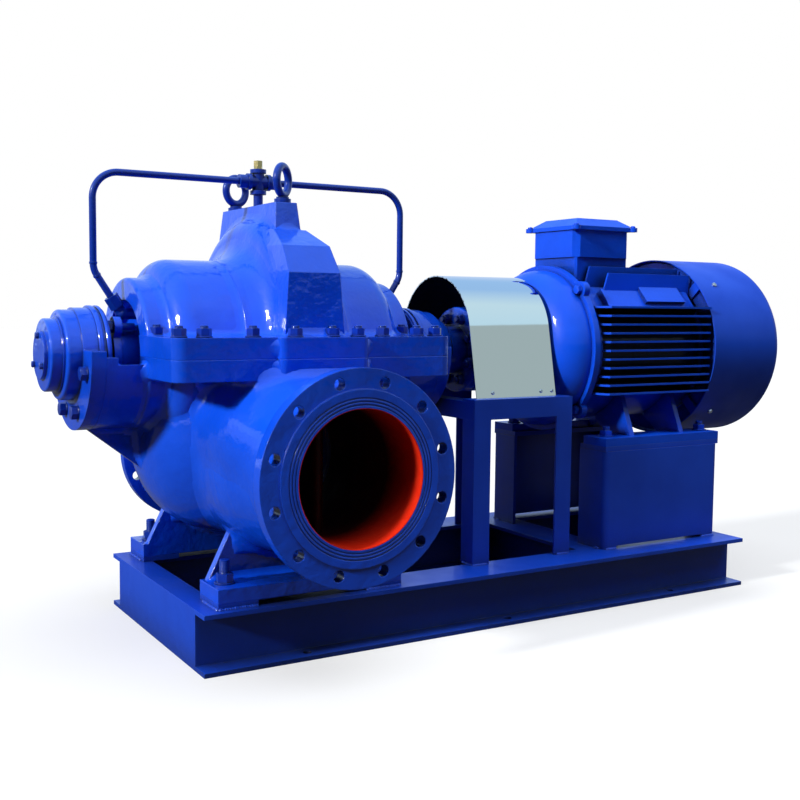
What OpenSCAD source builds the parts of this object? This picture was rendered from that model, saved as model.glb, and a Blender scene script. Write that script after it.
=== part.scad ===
// Horizontal split case pump, coupled to an electric motor on a steel base frame.
// Millimetres. The origin is the middle of the base frame's underside,
// +X runs along the shaft from the pump to the motor and +Z is up.

/* [Base frame] */
// Length of the base frame
base_len = 1426; // [1400:1:1480]
// Width over the two side beams
base_w = 570; // [560:1:620]
// Height of the beams and channels
beam_h = 118; // [100:1:140]
// Flange width of the side beams and of the cross beam
beam_w = 102; // [90:1:110]
// Web thickness of the beams and channels
beam_web = 7; // [5:0.5:10]
// Flange thickness of the beams and channels
beam_flange = 9; // [6:0.5:12]
// Flange width of the end channels
channel_w = 55; // [45:1:65]
// Cross beam, distance of its middle from the middle of the motor feet
cross_offset = 194; // [180:1:210]
// Anchor hole diameter
anchor_d = 18; // [12:1:24]
// Distance between neighbouring anchor holes along a beam
anchor_pitch = 490; // [440:1:520]

/* [Pump] */
// Pump mid-plane, distance from the pump end of the frame
pump_inset = 235; // [225:1:245]
// Height of the shaft above the underside of the pump feet
pump_centre_h = 459; // [450:1:480]
// Thickness of the packing pads under the feet
pad_t = 11; // [6:1:16]
// Thickness of the feet
sole_t = 28; // [20:1:34]
// Length of each foot along the shaft
sole_len = 400; // [380:1:430]
// Width of each foot
sole_w = 94; // [84:1:100]
// Distance between the middles of the two feet
sole_span = 438; // [430:1:450]
// Length of each packing pad along the shaft
pad_len = 82; // [60:1:100]
// Thickness of the upright webs of the feet
foot_web = 18; // [12:1:24]
// Foot stud hole diameter
stud_d = 26; // [20:1:30]
// Distance between the foot studs along the shaft
stud_pitch = 336; // [310:1:350]
// Radius of the suction chambers about the shaft
dome_r = 190; // [180:1:196]
// Half length of the suction chambers
dome_half = 248; // [240:1:256]
// Radius of the stuffing box ends
box_r = 152; // [146:1:158]
// Distance of the stuffing box end faces from the mid-plane
box_face = 292; // [286:1:294]
// Rounding of the chamber shoulders
dome_round = 42; // [34:1:50]
// Radius of the volute over the impeller
volute_r = 280; // [270:1:286]
// The volute's crest stands this much further out at the front
volute_shift = 12; // [6:1:16]
// Radius of the volute below the split line
low_volute_r = 262; // [252:1:268]
// Width of the flat crest of the volute
crest_w = 24; // [16:1:40]
// Rounding of the volute crest
crest_round = 46; // [36:1:54]
// Rounding between the volute and the chambers
root_round = 54; // [44:1:64]
// Width of the volute's front face
front_w = 104; // [90:1:116]
// Half length of the split flange
split_half = 294; // [288:1:300]
// Half width of the split flange
split_y = 301; // [296:1:312]
// Thickness of each half of the split flange
split_t = 40; // [32:1:46]
// Forward swelling of the split flange beside the volute
split_swell = 14; // [6:1:20]
// Radius of the belly below the shaft
belly_r = 214; // [206:1:218]
// Depth of the belly axis below the shaft
belly_drop = 159; // [152:1:164]
// Half length of the belly
belly_half = 267; // [260:1:272]
// Rounding of the belly ends
belly_round = 180; // [170:1:190]

/* [Nozzles] */
// Suction flange diameter
suction_d = 395; // [380:1:405]
// Suction bore
suction_bore = 250; // [230:1:256]
// Suction bolt circle
suction_pcd = 350; // [340:1:356]
// Suction bolt hole diameter
suction_hole = 22; // [18:1:26]
// Suction flange face, distance from the shaft
suction_face = 477; // [465:1:490]
// Suction flange thickness
suction_t = 28; // [22:1:34]
// Depth of the suction nozzle axis below the shaft
suction_drop = 206; // [200:1:212]
// The suction nozzle's middle lies this far along from the casing's
suction_shift = -12; // [-16:1:0]
// Width of a gasket groove in a flange face
groove_w = 2.2; // [1.5:0.1:3]
// Depth of a gasket groove
groove_depth = 1.2; // [0.8:0.1:1.6]
// Discharge flange diameter
discharge_d = 340; // [330:1:350]
// Discharge bore
discharge_bore = 200; // [180:1:206]
// Discharge bolt circle
discharge_pcd = 295; // [286:1:300]
// Discharge bolt hole diameter
discharge_hole = 22; // [18:1:24]
// Discharge flange face, distance from the shaft
discharge_face = 440; // [430:1:455]
// Discharge flange thickness
discharge_t = 26; // [20:1:30]
// Depth of the discharge nozzle axis below the shaft
discharge_drop = 258; // [250:1:264]
// Wall thickness of the nozzles
nozzle_wall = 22; // [16:1:26]
// Raised face height
raised_h = 3; // [2:0.5:4]
// Width of the raised faces outside the bores
raised_w = 35; // [30:1:38]

/* [Bearings] */
// Outside radius of the bearing brackets
bracket_r = 148; // [140:1:154]
// Wall of the bearing brackets
bracket_wall = 22; // [16:1:28]
// Distance of the bracket ends from the mid-plane
bracket_end = 370; // [362:1:378]
// Thickness of the bearing housing flanges
housing_flange = 28; // [24:1:32]
// Radius of the bearing housing barrels
housing_r = 88; // [82:1:92]
// Length of the bearing housing barrels
housing_len = 29; // [24:1:34]
// Radius of the bearing covers
cover_r = 71; // [66:1:76]
// Length of the bearing covers
cover_len = 26; // [22:1:32]
// Radius of the cap on the free bearing cover
cap_r = 47; // [40:1:52]
// Radius of the gland flanges
gland_r = 64; // [58:1:70]
// Thickness of the gland flanges
gland_t = 15; // [10:1:18]

/* [Shaft and coupling] */
// Pump shaft radius at the bearings
shaft_r = 30; // [26:1:34]
// Pump shaft sleeve radius in the stuffing boxes
sleeve_r = 37; // [35:1:42]
// Coupling diameter
coupling_d = 200; // [186:1:212]
// Flange thickness of the pump half, which carries the pins
pin_flange = 26; // [20:1:32]
// Flange thickness of the motor half, which holds the bushes
bush_flange = 46; // [38:1:50]
// Coupling hub radius
hub_r = 56; // [50:1:60]
// Length of each coupling half
coupling_len = 70; // [64:1:76]
// Gap between the coupling halves
coupling_gap = 5; // [3:0.5:8]
// Bolt circle of the coupling pins
pin_pcd = 152; // [144:1:158]
// Coupling pin diameter
pin_d = 18; // [14:1:22]
// Running clearance around the shafts
running = 0.3; // [0.1:0.05:0.4]

/* [Coupling guard] */
// Inside radius of the guard arch
guard_r = 140; // [132:1:146]
// The centre of the guard's arch stands this high above the shaft
guard_lift = 30; // [24:1:36]
// The guard's sides lean out by this angle
guard_flare = 11; // [6:1:14]
// Sheet thickness of the guard
guard_t = 2; // [1.5:0.5:3]
// Length of the guard along the shaft
guard_len = 225; // [206:1:240]
// Distance of the guard's middle from the middle of the coupling, towards the motor
guard_offset = 28; // [22:1:30]
// The stand's middle lies this far along from the coupling's
stand_offset = 26; // [20:1:32]
// Height of the stand's top below the shaft
stand_drop = 103; // [98:1:110]
// Leg size of the stand's angle bars
angle_w = 45; // [40:1:50]
// Thickness of the stand's angle bars
angle_t = 5; // [4:0.5:8]
// Length of the stand along the shaft
stand_len = 276; // [262:1:290]
// Width of the stand over its legs
stand_w = 404; // [396:1:420]

/* [Motor] */
// Height of the motor shaft above its feet
motor_h = 225; // [220:1:230]
// Middle of the motor foot holes, distance from the motor end of the frame
motor_inset = 208; // [200:1:216]
// Distance from the shaft shoulder to the first motor foot hole
shoulder_gap = 149; // [140:1:156]
// Length of the shaft beyond its shoulder
shaft_ext = 140; // [134:1:146]
// Distance between the motor foot holes along the shaft
foot_pitch = 311; // [300:1:316]
// Distance between the motor foot holes across the shaft
foot_gauge = 356; // [350:1:362]
// Length of the motor feet
foot_len = 374; // [366:1:384]
// Distance of the middle of the feet from the middle of their holes
foot_shift = -4; // [-10:1:6]
// Thickness of the motor feet
foot_t = 19; // [14:1:24]
// Width of each motor foot
foot_w = 78; // [70:1:84]
// Motor foot hole diameter
foot_hole = 19; // [15:1:22]
// Radius of the motor frame without its fins
frame_r = 178; // [170:1:184]
// Length of the motor frame
frame_len = 352; // [340:1:362]
// Reach of the side fins from the shaft
fin_reach = 214; // [206:1:218]
// Distance between neighbouring side fins
fin_pitch = 20.5; // [19:0.5:21]
// Thickness of the fins
fin_t = 5; // [4:0.5:7]
// Height of the taller top fins above the shaft
top_fin_h = 202; // [196:1:208]
// Height of the lower top fins above the shaft
low_fin_h = 185; // [178:1:192]
// Radius of the fan cover
fan_r = 228; // [224:1:232]
// Length of the fan cover
fan_len = 243; // [232:1:250]
// Sheet thickness of the fan cover
fan_sheet = 3; // [2:0.5:4]
// Length of the drive end shield
shield_len = 98; // [90:1:106]
// Motor shaft radius
motor_shaft_r = 30; // [26:1:32]
// Terminal box length
box_len = 178; // [166:1:184]
// Terminal box width
box_w = 170; // [160:1:176]
// Terminal box height
box_h = 66; // [58:1:72]
// Corner bevel of the terminal box
box_bevel = 14; // [8:1:18]
// Overhang of the terminal box lid
lid_over = 10; // [8:1:14]
// Height of the terminal box lid
lid_h = 30; // [24:1:34]

/* [Pedestals] */
// Length of the motor pedestals
pedestal_len = 372; // [356:1:384]
// Distance of the middle of the pedestals from the middle of the motor foot holes
pedestal_shift = -6; // [-12:1:4]
// Depth of the motor pedestals
pedestal_d = 92; // [80:1:104]
// Distance between the outer faces of the pedestals
pedestal_w = 440; // [430:1:448]
// Plate thickness of the pedestals
pedestal_t = 8; // [6:0.5:10]
// Height of the gap under the pedestal's long side
pedestal_gap = 6; // [3:1:10]
// Top plate thickness
top_plate = 12; // [8:1:16]

/* [Flush pipes] */
// Pipe diameter
pipe_d = 14; // [10:1:16]
// Height of the pipes above the shaft
pipe_h = 358; // [350:1:366]
// Reach of the pipes from the mid-plane
pipe_reach = 352; // [346:1:360]
// Bend radius of the pipes
pipe_bend = 52; // [40:1:60]
// Height of the stuffing box tappings above the shaft
tap_h = 80; // [76:1:84]
// The flush pipes lean in by this angle at their lower ends
pipe_kink = 33; // [25:1:40]
// Radius of that lower bend
kink_r = 45; // [35:1:55]

/* [Lifting block] */
// Height of the lifting block's top above the shaft
lift_h = 305; // [298:1:312]
// Length of the lifting block's top across the shaft
lift_len = 276; // [260:1:286]
// Width of the lifting block along the shaft
lift_w = 46; // [40:1:52]
// Distance between the eye bolts
eye_pitch = 240; // [220:1:248]
// Ring radius of the eye bolts, to the middle of the bar
eye_ring = 28; // [24:1:30]
// Bar diameter of the eye bolts
eye_bar = 16; // [12:1:17]

/* [Hidden] */
$fn = 96;
// A cut runs past a face by this much
past = 1;
// A pin stands this far off the wall of its hole
fit = 0.05;
// Places along the frame
pump_x = pump_inset - base_len / 2;
motor_x = base_len / 2 - motor_inset;
cross_x = motor_x - cross_offset;
// Heights
pad_z = beam_h;
sole_z = pad_z + pad_t;
shaft_z = sole_z + pump_centre_h;
foot_z = shaft_z - motor_h;
pedestal_top = foot_z - top_plate;
stand_top = shaft_z - stand_drop;
// Side beams and the frame inside them
beam_y = base_w / 2 - beam_w / 2;
inner_y = beam_y - beam_web / 2;
anchor_y = beam_y + (beam_w + beam_web) / 4;
// Feet
sole_y = sole_span / 2;
web_y = sole_y - sole_w / 2 + foot_web / 2;
foot_slope = 0.5;
// Space around the sleeves
sleeve_gap = 5;
// The flat front of the volute above the split flange
front_y = split_y - 33;
// Stuffing boxes, brackets and bearing housings, measured from the mid-plane
recess_r = box_r - 44;
recess_face = box_face - 34;
trough_from = box_face - 30;
end_wall = 20;
arm_drop = 14;
housing_face = bracket_end + housing_flange;
barrel_face = housing_face + housing_len;
cover_face = barrel_face + cover_len;
cap_t = 7;
gland_face = box_face + 23;
// The bearing housings' inner collars, in half-round seats in the brackets
seat_r = housing_r + 4;
collar_reach = 27;
seat_gap = 0.3;
// Shaft ends and coupling
shoulder_x = motor_x - foot_pitch / 2 - shoulder_gap;
motor_shaft_end = shoulder_x - shaft_ext;
pump_shaft_end = motor_shaft_end - coupling_gap;
coupling_mid = motor_shaft_end - coupling_gap / 2;
pin_count = 8;
// Guard and stand
guard_from = coupling_mid + guard_offset - guard_len / 2;
stand_from = coupling_mid + stand_offset - stand_len / 2;
// Motor stations along the shaft
shield_gap = 4;
shield_face = shoulder_x + shield_gap;
frame_from = shield_face + shield_len;
frame_to = frame_from + frame_len;
fan_from = frame_to + 3;
fan_to = fan_from + fan_len;
fan_gap = 60;
journal_r = motor_shaft_r + 12;
journal_space = motor_shaft_r + 14;
bearing_seat = 20;
fin_rows = 5;
box_x = frame_from + 109;
riser_top = motor_h - 1;
box_wall_top = riser_top + box_h;
// Lifting gear
collar_r = 17;
collar_h = 12;
eye_shank = 7;
nipple_r = 10;
tap_r = 8;
elbow_r = 11;
// The flush elbow's corner, its sloping run and the bend at the top of it
corner_d = recess_face + 38;
kink_d = pipe_reach - kink_r * (1 - cos(pipe_kink));
slope_run = (kink_d - corner_d) / sin(pipe_kink);
kink_z = tap_h + slope_run * cos(pipe_kink) + kink_r * sin(pipe_kink);
nut_from = 15;
nut_to = 41;
// Colours
enamel = "#1a3fd0";
deep_enamel = "#16329c";
bright_steel = "#b9bec4";
polished = "#d5dade";
brass_colour = "#c9a24a";

// Helpers

module at_pump() {
    translate([pump_x, 0, shaft_z]) children();
}

module at_shaft() {
    translate([0, 0, shaft_z]) children();
}

// A turned shape about the shaft: the outline's x is the radius and its y runs along +X
module turned() {
    rotate([0, 90, 0]) rotate_extrude() children();
}

// A turned shape about a line across the shaft: the outline's y runs along +Y
module turned_across() {
    rotate([-90, 0, 0]) rotate_extrude() children();
}

// A round bar or hole along +X from one station to another
module along(from, to, r) {
    translate([from, 0, 0]) rotate([0, 90, 0]) cylinder(h = to - from, r = r);
}

// A round bar or hole along +Y from one station to another
module across(from, to, r) {
    translate([0, from, 0]) rotate([-90, 0, 0]) cylinder(h = to - from, r = r);
}

// The same shape at both ends of the pump
module both_ends() {
    children();
    mirror([1, 0, 0]) children();
}

// The same shape at the front and the rear
module both_sides() {
    children();
    mirror([0, 1, 0]) children();
}

// A block between two corners
module block(low, high) {
    translate(low) cube(high - low);
}

// Base frame

module i_section() {
    square([beam_web, beam_h], center = true);
    for (side = [-1, 1])
        translate([0, side * (beam_h - beam_flange) / 2])
            square([beam_w, beam_flange], center = true);
}

module channel_section() {
    translate([0, -beam_h / 2]) square([beam_web, beam_h]);
    for (side = [-1, 1])
        translate([0, side * (beam_h - beam_flange) / 2 - beam_flange / 2])
            square([channel_w, beam_flange]);
}

// A side beam: the inner flanges are cut back where the end channels and the cross beam meet the web
module rail() {
    difference() {
        translate([-base_len / 2, -beam_y, beam_h / 2])
            rotate([90, 0, 90]) linear_extrude(base_len) i_section();
        for (end = [-1, 1])
            translate([end * (base_len / 2 - channel_w / 2 + past), -inner_y + beam_w / 4, beam_h / 2])
                cube([channel_w + 2 * past, beam_w / 2, beam_h + 2 * past], center = true);
        translate([cross_x, -inner_y + beam_w / 4, beam_h / 2])
            cube([beam_w, beam_w / 2, beam_h + 2 * past], center = true);
        for (k = [-1:1])
            translate([k * anchor_pitch, -anchor_y, -past])
                cylinder(h = beam_flange + 2 * past, d = anchor_d);
    }
}

module rail_front() {
    color(enamel) rail();
}

module rail_rear() {
    color(enamel) mirror([0, 1, 0]) rail();
}

// An end channel with its flat web outwards
module end_channel() {
    translate([-base_len / 2, inner_y, beam_h / 2])
        rotate([90, 0, 0]) linear_extrude(2 * inner_y) channel_section();
}

module end_channel_left() {
    color(enamel) end_channel();
}

module end_channel_right() {
    color(enamel) mirror([1, 0, 0]) end_channel();
}

module cross_beam() {
    color(deep_enamel)
        translate([cross_x, inner_y, beam_h / 2])
            rotate([90, 0, 0]) linear_extrude(2 * inner_y) i_section();
}

module pump_pads() {
    color(enamel)
        for (x = [-1, 1], y = [-1, 1])
            translate([pump_x + x * (sole_len - pad_len) / 2, y * sole_y, pad_z + pad_t / 2])
                difference() {
                    cube([pad_len, sole_w, pad_t], center = true);
                    translate([-x * ((sole_len - pad_len) - stud_pitch) / 2, 0, 0])
                        cylinder(h = pad_t + 2 * past, d = stud_d, center = true);
                }
}

// Pump casing

// Outline of the split flange, seen from above
module split_outline() {
    corner = 22;
    swell_half = 95;
    difference() {
        union() {
            square([2 * (split_half - corner), 2 * split_y], center = true);
            square([2 * split_half, 2 * (split_y - corner)], center = true);
            for (x = [-1, 1], y = [-1, 1])
                translate([x * (split_half - corner), y * (split_y - corner)]) circle(corner);
            square([2 * (swell_half - split_swell), 2 * (split_y + split_swell)], center = true);
            for (x = [-1, 1], y = [-1, 1])
                translate([x * (swell_half - split_swell), y * split_y]) circle(split_swell);
        }
    }
}

// The space that the shaft, the sleeves and the glands run in
module shaft_space() {
    along(-bracket_end - past, bracket_end + past, sleeve_r + sleeve_gap);
    both_ends() along(recess_face, split_half + past, recess_r);
}

// Everything below the split line
module below() {
    intersection() {
        children();
        translate([0, 0, -600]) cube(1200, center = true);
    }
}

// Everything above the split line
module above() {
    intersection() {
        children();
        translate([0, 0, 600]) cube(1200, center = true);
    }
}

// The suction chambers and the stuffing box ends, turned about the shaft
module chambers() {
    lip = 8;
    both_ends() turned() {
        square([dome_r - dome_round, dome_half]);
        square([dome_r, dome_half - dome_round]);
        translate([dome_r - dome_round, dome_half - dome_round]) circle(dome_round);
        square([box_r, box_face - lip]);
        square([box_r - lip, box_face]);
        translate([box_r - lip, box_face - lip]) circle(lip);
    }
}

// The volute: a rounded crest that sweeps down into the chambers in one curve
module volute(crest_r, shift) {
    drop = crest_r - dome_r;
    turn = crest_round + root_round;
    crest_x = crest_w / 2;
    root_x = crest_x + sqrt(2 * drop * turn - drop * drop);
    meet_r = crest_r - crest_round + (turn - drop) * crest_round / turn;
    meet_x = crest_x + (root_x - crest_x) * crest_round / turn;
    translate([0, -shift, 0]) both_ends() turned() {
        square([crest_r, crest_x]);
        square([meet_r, meet_x]);
        intersection() {
            translate([crest_r - crest_round, crest_x]) circle(crest_round);
            square([crest_r, meet_x]);
        }
        difference() {
            square([meet_r, root_x]);
            translate([dome_r + root_round, root_x]) circle(root_round);
        }
    }
}

// The belly below the shaft, turned about a lower line
module belly() {
    translate([0, 0, -belly_drop]) both_ends() turned() {
        square([belly_r, belly_half - belly_round]);
        square([belly_r - belly_round, belly_half]);
        intersection() {
            translate([belly_r - belly_round, belly_half - belly_round]) circle(belly_round);
            square([belly_r, belly_half]);
        }
    }
}

// Radius of a nozzle between its neck and the casing
function swell(neck, full, t) = neck + (full - neck) * t * t * (3 - 2 * t);

// A nozzle with its flange, running along +Y from inside the casing
module nozzle(neck, full, root, from, face, flange_d, flange_t, bore) {
    back = face - flange_t;
    steps = 12;
    turned_across() {
        polygon(concat(
            [[0, root], [full, root]],
            [for (i = [0:steps]) [swell(neck, full, 1 - i / steps), from + (back - from) * i / steps]],
            [[0, back]]));
        translate([0, back - past]) square([flange_d / 2, flange_t - raised_h + past]);
        square([bore / 2 + raised_w, face]);
    }
}

// Bolt holes of a nozzle flange, straddling its centre lines
module flange_holes(count, pcd, d, face, flange_t) {
    for (k = [0:count - 1])
        rotate([0, (k + 0.5) * 360 / count, 0])
            translate([pcd / 2, 0, 0]) across(face - flange_t - 2 * past, face + past, d / 2);
}

// Three fine rings turned into the raised face of a flange
module gasket_grooves(bore, face) {
    first = 7;
    step = 6;
    for (k = [0:2])
        turned_across() translate([bore / 2 + first + k * step - groove_w / 2, face - groove_depth])
            square([groove_w, groove_depth + past]);
}

module suction_nozzle() {
    translate([suction_shift, 0, -suction_drop]) mirror([0, 1, 0]) difference() {
        nozzle(suction_bore / 2 + nozzle_wall, belly_r - 28, 60, 190, suction_face, suction_d, suction_t,
            suction_bore);
        flange_holes(12, suction_pcd, suction_hole, suction_face, suction_t);
        gasket_grooves(suction_bore, suction_face);
    }
}

// The suction passage, parted by a wall with a rounded nose
module suction_passage() {
    part_from = 300;
    part_t = 22;
    passage_end = 110;
    translate([suction_shift, 0, -suction_drop]) mirror([0, 1, 0]) difference() {
        across(passage_end, suction_face + past, suction_bore / 2);
        block([-part_t / 2, 0, -suction_bore], [part_t / 2, part_from, suction_bore]);
        translate([0, part_from, -suction_bore]) cylinder(h = 2 * suction_bore, r = part_t / 2);
    }
}

module discharge_nozzle() {
    translate([0, 0, -discharge_drop]) difference() {
        nozzle(discharge_bore / 2 + nozzle_wall, discharge_bore / 2 + 58, 60, 150, discharge_face, discharge_d,
            discharge_t, discharge_bore);
        flange_holes(8, discharge_pcd, discharge_hole, discharge_face, discharge_t);
        gasket_grooves(discharge_bore, discharge_face);
    }
}

module discharge_passage() {
    passage_end = 150;
    translate([0, 0, -discharge_drop]) across(passage_end, discharge_face + past, discharge_bore / 2);
}

// A foot with its upright web
module foot() {
    top = -belly_drop - 96;
    sole_top = -pump_centre_h + sole_t;
    web_foot = sole_len / 2 - 10;
    web_head = web_foot - foot_slope * (top - sole_top);
    translate([0, -sole_y, -pump_centre_h + sole_t / 2]) cube([sole_len, sole_w, sole_t], center = true);
    translate([0, -web_y + foot_web / 2, 0]) rotate([90, 0, 0]) linear_extrude(foot_web)
        polygon([[-web_foot, sole_top - past], [web_foot, sole_top - past],
            [web_head, top], [-web_head, top]]);
}

module foot_stud_holes() {
    for (x = [-1, 1], y = [-1, 1])
        translate([x * stud_pitch / 2, y * sole_y, -pump_centre_h - past])
            cylinder(h = sole_t + 2 * past, d = stud_d);
}

// A half-round arm that carries a bearing housing, with a rib under it
module bracket() {
    rib_t = 16;
    rib_end = belly_half - 40;
    difference() {
        along(dome_half - 40, bracket_end, bracket_r);
        along(trough_from, bracket_end - end_wall, bracket_r - bracket_wall);
        along(bracket_end - end_wall - past, bracket_end + past, seat_r + seat_gap);
        block([dome_half - 60, -200, -arm_drop], [bracket_end - end_wall - 2, 200, 200]);
        block([bracket_end - end_wall - 4, -200, 0], [bracket_end + past, 200, 200]);
    }
    translate([0, rib_t / 2, 0]) rotate([90, 0, 0]) linear_extrude(rib_t)
        polygon([[rib_end, -bracket_r + 20], [bracket_end, -bracket_r + 20], [bracket_end, -bracket_r],
            [rib_end, -bracket_r - 110]]);
}

module lower_casing() {
    color(enamel) at_pump() difference() {
        union() {
            below() {
                chambers();
                volute(low_volute_r, 0);
                belly();
            }
            translate([0, 0, -split_t]) linear_extrude(split_t) split_outline();
            suction_nozzle();
            discharge_nozzle();
            both_sides() foot();
            both_ends() bracket();
        }
        shaft_space();
        suction_passage();
        discharge_passage();
        foot_stud_holes();
    }
}

// The volute's front above the split flange: two flat facets and a sloping top
module volute_front() {
    knee = 162;
    head = 215;
    crest = volute_r - 30;
    foot_half = front_w / 2 + 12;
    knee_half = front_w / 2 + 3;
    head_half = front_w / 2 - 1;
    crest_half = lift_w / 2 + 12;
    intersection() {
        translate([-split_half, 0, 0]) rotate([90, 0, 90]) linear_extrude(2 * split_half)
            polygon([[0, split_t - past], [-front_y, split_t - past], [-front_y + 3, knee],
                [-front_y + 40, head], [-lift_len / 2 - 16, crest], [0, crest]]);
        rotate([90, 0, 0]) linear_extrude(split_y)
            polygon([[-foot_half, split_t - past], [foot_half, split_t - past], [knee_half, knee],
                [head_half, head], [crest_half, crest + past], [-crest_half, crest + past],
                [-head_half, head], [-knee_half, knee]]);
    }
}

// The tapered bar on top that carries the eye bolts
module lifting_block() {
    base_z = dome_r;
    taper = 0.16;
    side = (lift_h - base_z) * taper;
    intersection() {
        translate([-lift_w, 0, 0]) rotate([90, 0, 90]) linear_extrude(2 * lift_w)
            polygon([[-lift_len / 2 - side, base_z], [lift_len / 2 + side, base_z],
                [lift_len / 2, lift_h], [-lift_len / 2, lift_h]]);
        translate([0, lift_len, 0]) rotate([90, 0, 0]) linear_extrude(2 * lift_len)
            polygon([[-lift_w / 2 - side / 2, base_z], [lift_w / 2 + side / 2, base_z],
                [lift_w / 2, lift_h], [-lift_w / 2, lift_h]]);
    }
}

module upper_casing() {
    color(enamel) at_pump() difference() {
        union() {
            above() {
                chambers();
                intersection() {
                    volute(volute_r, volute_shift);
                    block([-split_half, -front_y + 8, 0], [split_half, split_y, volute_r]);
                }
            }
            linear_extrude(split_t) split_outline();
            volute_front();
            lifting_block();
        }
        shaft_space();
        for (side = [-1, 1])
            translate([0, side * eye_pitch / 2, lift_h - 30]) cylinder(h = 30 + past, r = eye_shank + fit);
        translate([0, 0, lift_h - 24]) cylinder(h = 24 + past, r = nipple_r + fit);
        both_ends() translate([0, 0, tap_h]) along(recess_face - 16, recess_face + past, tap_r + fit);
    }
}

// Bearings and glands

// A bearing housing: a barrel with a half-round flange below and a low collar above
module bearing_housing() {
    edge = 6;
    shoulder_h = 12;
    difference() {
        union() {
            translate([bracket_end, 0, 0]) turned() {
                square([housing_r, barrel_face - bracket_end - edge]);
                square([housing_r - edge, barrel_face - bracket_end]);
                translate([housing_r - edge, barrel_face - bracket_end - edge]) circle(edge);
            }
            along(bracket_end - collar_reach, housing_face, seat_r);
            intersection() {
                along(bracket_end, housing_face, bracket_r);
                block([0, -bracket_r, -bracket_r], [housing_face, bracket_r, shoulder_h]);
            }
        }
        along(bracket_end - collar_reach - past, barrel_face + past, shaft_r + running);
    }
}

module bearing_housing_left() {
    color(enamel) at_pump() mirror([1, 0, 0]) bearing_housing();
}

module bearing_housing_right() {
    color(enamel) at_pump() bearing_housing();
}

// A bearing cover: a stepped disc, closed by a cap at the free end of the pump
module bearing_cover() {
    edge = 4;
    translate([barrel_face, 0, 0]) turned() {
        square([cover_r + edge, edge]);
        square([cover_r, cover_len - edge]);
        square([cover_r - edge, cover_len]);
        translate([cover_r - edge, cover_len - edge]) circle(edge);
    }
}

module bearing_cover_left() {
    color(enamel) at_pump() mirror([1, 0, 0]) difference() {
        union() {
            bearing_cover();
            along(cover_face - past, cover_face + cap_t, cap_r);
        }
        along(barrel_face - past, barrel_face + 14, shaft_r + running);
    }
}

module bearing_cover_right() {
    color(enamel) at_pump() difference() {
        bearing_cover();
        along(barrel_face - past, cover_face + past, shaft_r + running);
    }
}

// Outline of a gland flange with two ears, seen along the shaft
module gland_outline() {
    ear_r = 20;
    ear_reach = gland_r + 8;
    ear_turn = 40;
    stud_hole = 16;
    difference() {
        union() {
            circle(gland_r);
            for (side = [0, 180]) rotate(side + ear_turn) {
                translate([0, -ear_r]) square([ear_reach, 2 * ear_r]);
                translate([ear_reach, 0]) circle(ear_r);
            }
        }
        circle(sleeve_r + running);
        for (side = [0, 180]) rotate(side + ear_turn) translate([ear_reach, 0]) circle(d = stud_hole);
    }
}

// A gland: a nose that enters the stuffing box and a flange with ears for its studs
module gland() {
    nose_r = sleeve_r + 21;
    translate([gland_face, 0, 0]) rotate([0, 90, 0]) linear_extrude(gland_t) gland_outline();
    translate([recess_face, 0, 0]) rotate([0, 90, 0]) linear_extrude(gland_face - recess_face + past)
        difference() {
            circle(nose_r);
            circle(sleeve_r + running);
        }
}

module gland_left() {
    color(enamel) at_pump() mirror([1, 0, 0]) gland();
}

module gland_right() {
    color(enamel) at_pump() gland();
}

// Rotor

module pump_shaft() {
    color(bright_steel) at_shaft() {
        along(pump_x - barrel_face - 8, pump_shaft_end, shaft_r);
        along(pump_x - bracket_end + end_wall + 12, pump_x + bracket_end - end_wall - 12, sleeve_r);
    }
}

// One half of the coupling: a flange with rounded edges and a hub behind it
module coupling_half(flange_t) {
    edge = 3;
    turned() {
        square([coupling_d / 2 - edge, flange_t]);
        translate([0, edge]) square([coupling_d / 2, flange_t - 2 * edge]);
        for (x = [edge, flange_t - edge]) translate([coupling_d / 2 - edge, x]) circle(edge);
        square([hub_r, coupling_len]);
    }
}

// The places of the coupling pins around the shaft
module at_pins() {
    for (k = [0:pin_count - 1])
        rotate([(k + 0.5) * 360 / pin_count, 0, 0]) translate([0, 0, pin_pcd / 2]) children();
}

module coupling_pump_half() {
    tip = 8;
    color(enamel) at_shaft() difference() {
        union() {
            translate([pump_shaft_end, 0, 0]) mirror([1, 0, 0]) coupling_half(pin_flange);
            at_pins() along(pump_shaft_end - past, motor_shaft_end + bush_flange - tip, pin_d / 2);
        }
        along(pump_shaft_end - coupling_len - past, pump_shaft_end + past, shaft_r + fit);
    }
}

module coupling_motor_half() {
    color(enamel) at_shaft() difference() {
        translate([motor_shaft_end, 0, 0]) coupling_half(bush_flange);
        at_pins() along(motor_shaft_end - past, motor_shaft_end + bush_flange + past, pin_d / 2 + fit);
        along(motor_shaft_end - past, motor_shaft_end + coupling_len + past, motor_shaft_r + fit);
    }
}

module motor_shaft() {
    color(bright_steel) at_shaft() {
        along(motor_shaft_end, fan_to - fan_gap, motor_shaft_r);
        along(shield_face + bearing_seat, frame_to + bearing_seat, journal_r);
    }
}

// A plain radial fan on the rear end of the motor shaft
module motor_fan() {
    hub = motor_shaft_r + 24;
    tip = fan_r - 34;
    fan_at = frame_to + 62;
    hub_len = 70;
    blade_w = 60;
    blade_t = 8;
    disc_t = 8;
    blades = 8;
    color(deep_enamel) at_shaft() difference() {
        union() {
            along(fan_at, fan_at + hub_len, hub);
            along(fan_at, fan_at + disc_t, tip - 30);
            for (k = [0:blades - 1])
                rotate([k * 360 / blades, 0, 0])
                    block([fan_at + disc_t / 2, -blade_t / 2, hub - 6],
                        [fan_at + disc_t / 2 + blade_w, blade_t / 2, tip]);
        }
        along(fan_at - past, fan_at + hub_len + past, motor_shaft_r + fit);
    }
}

// Coupling guard and its stand

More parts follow.
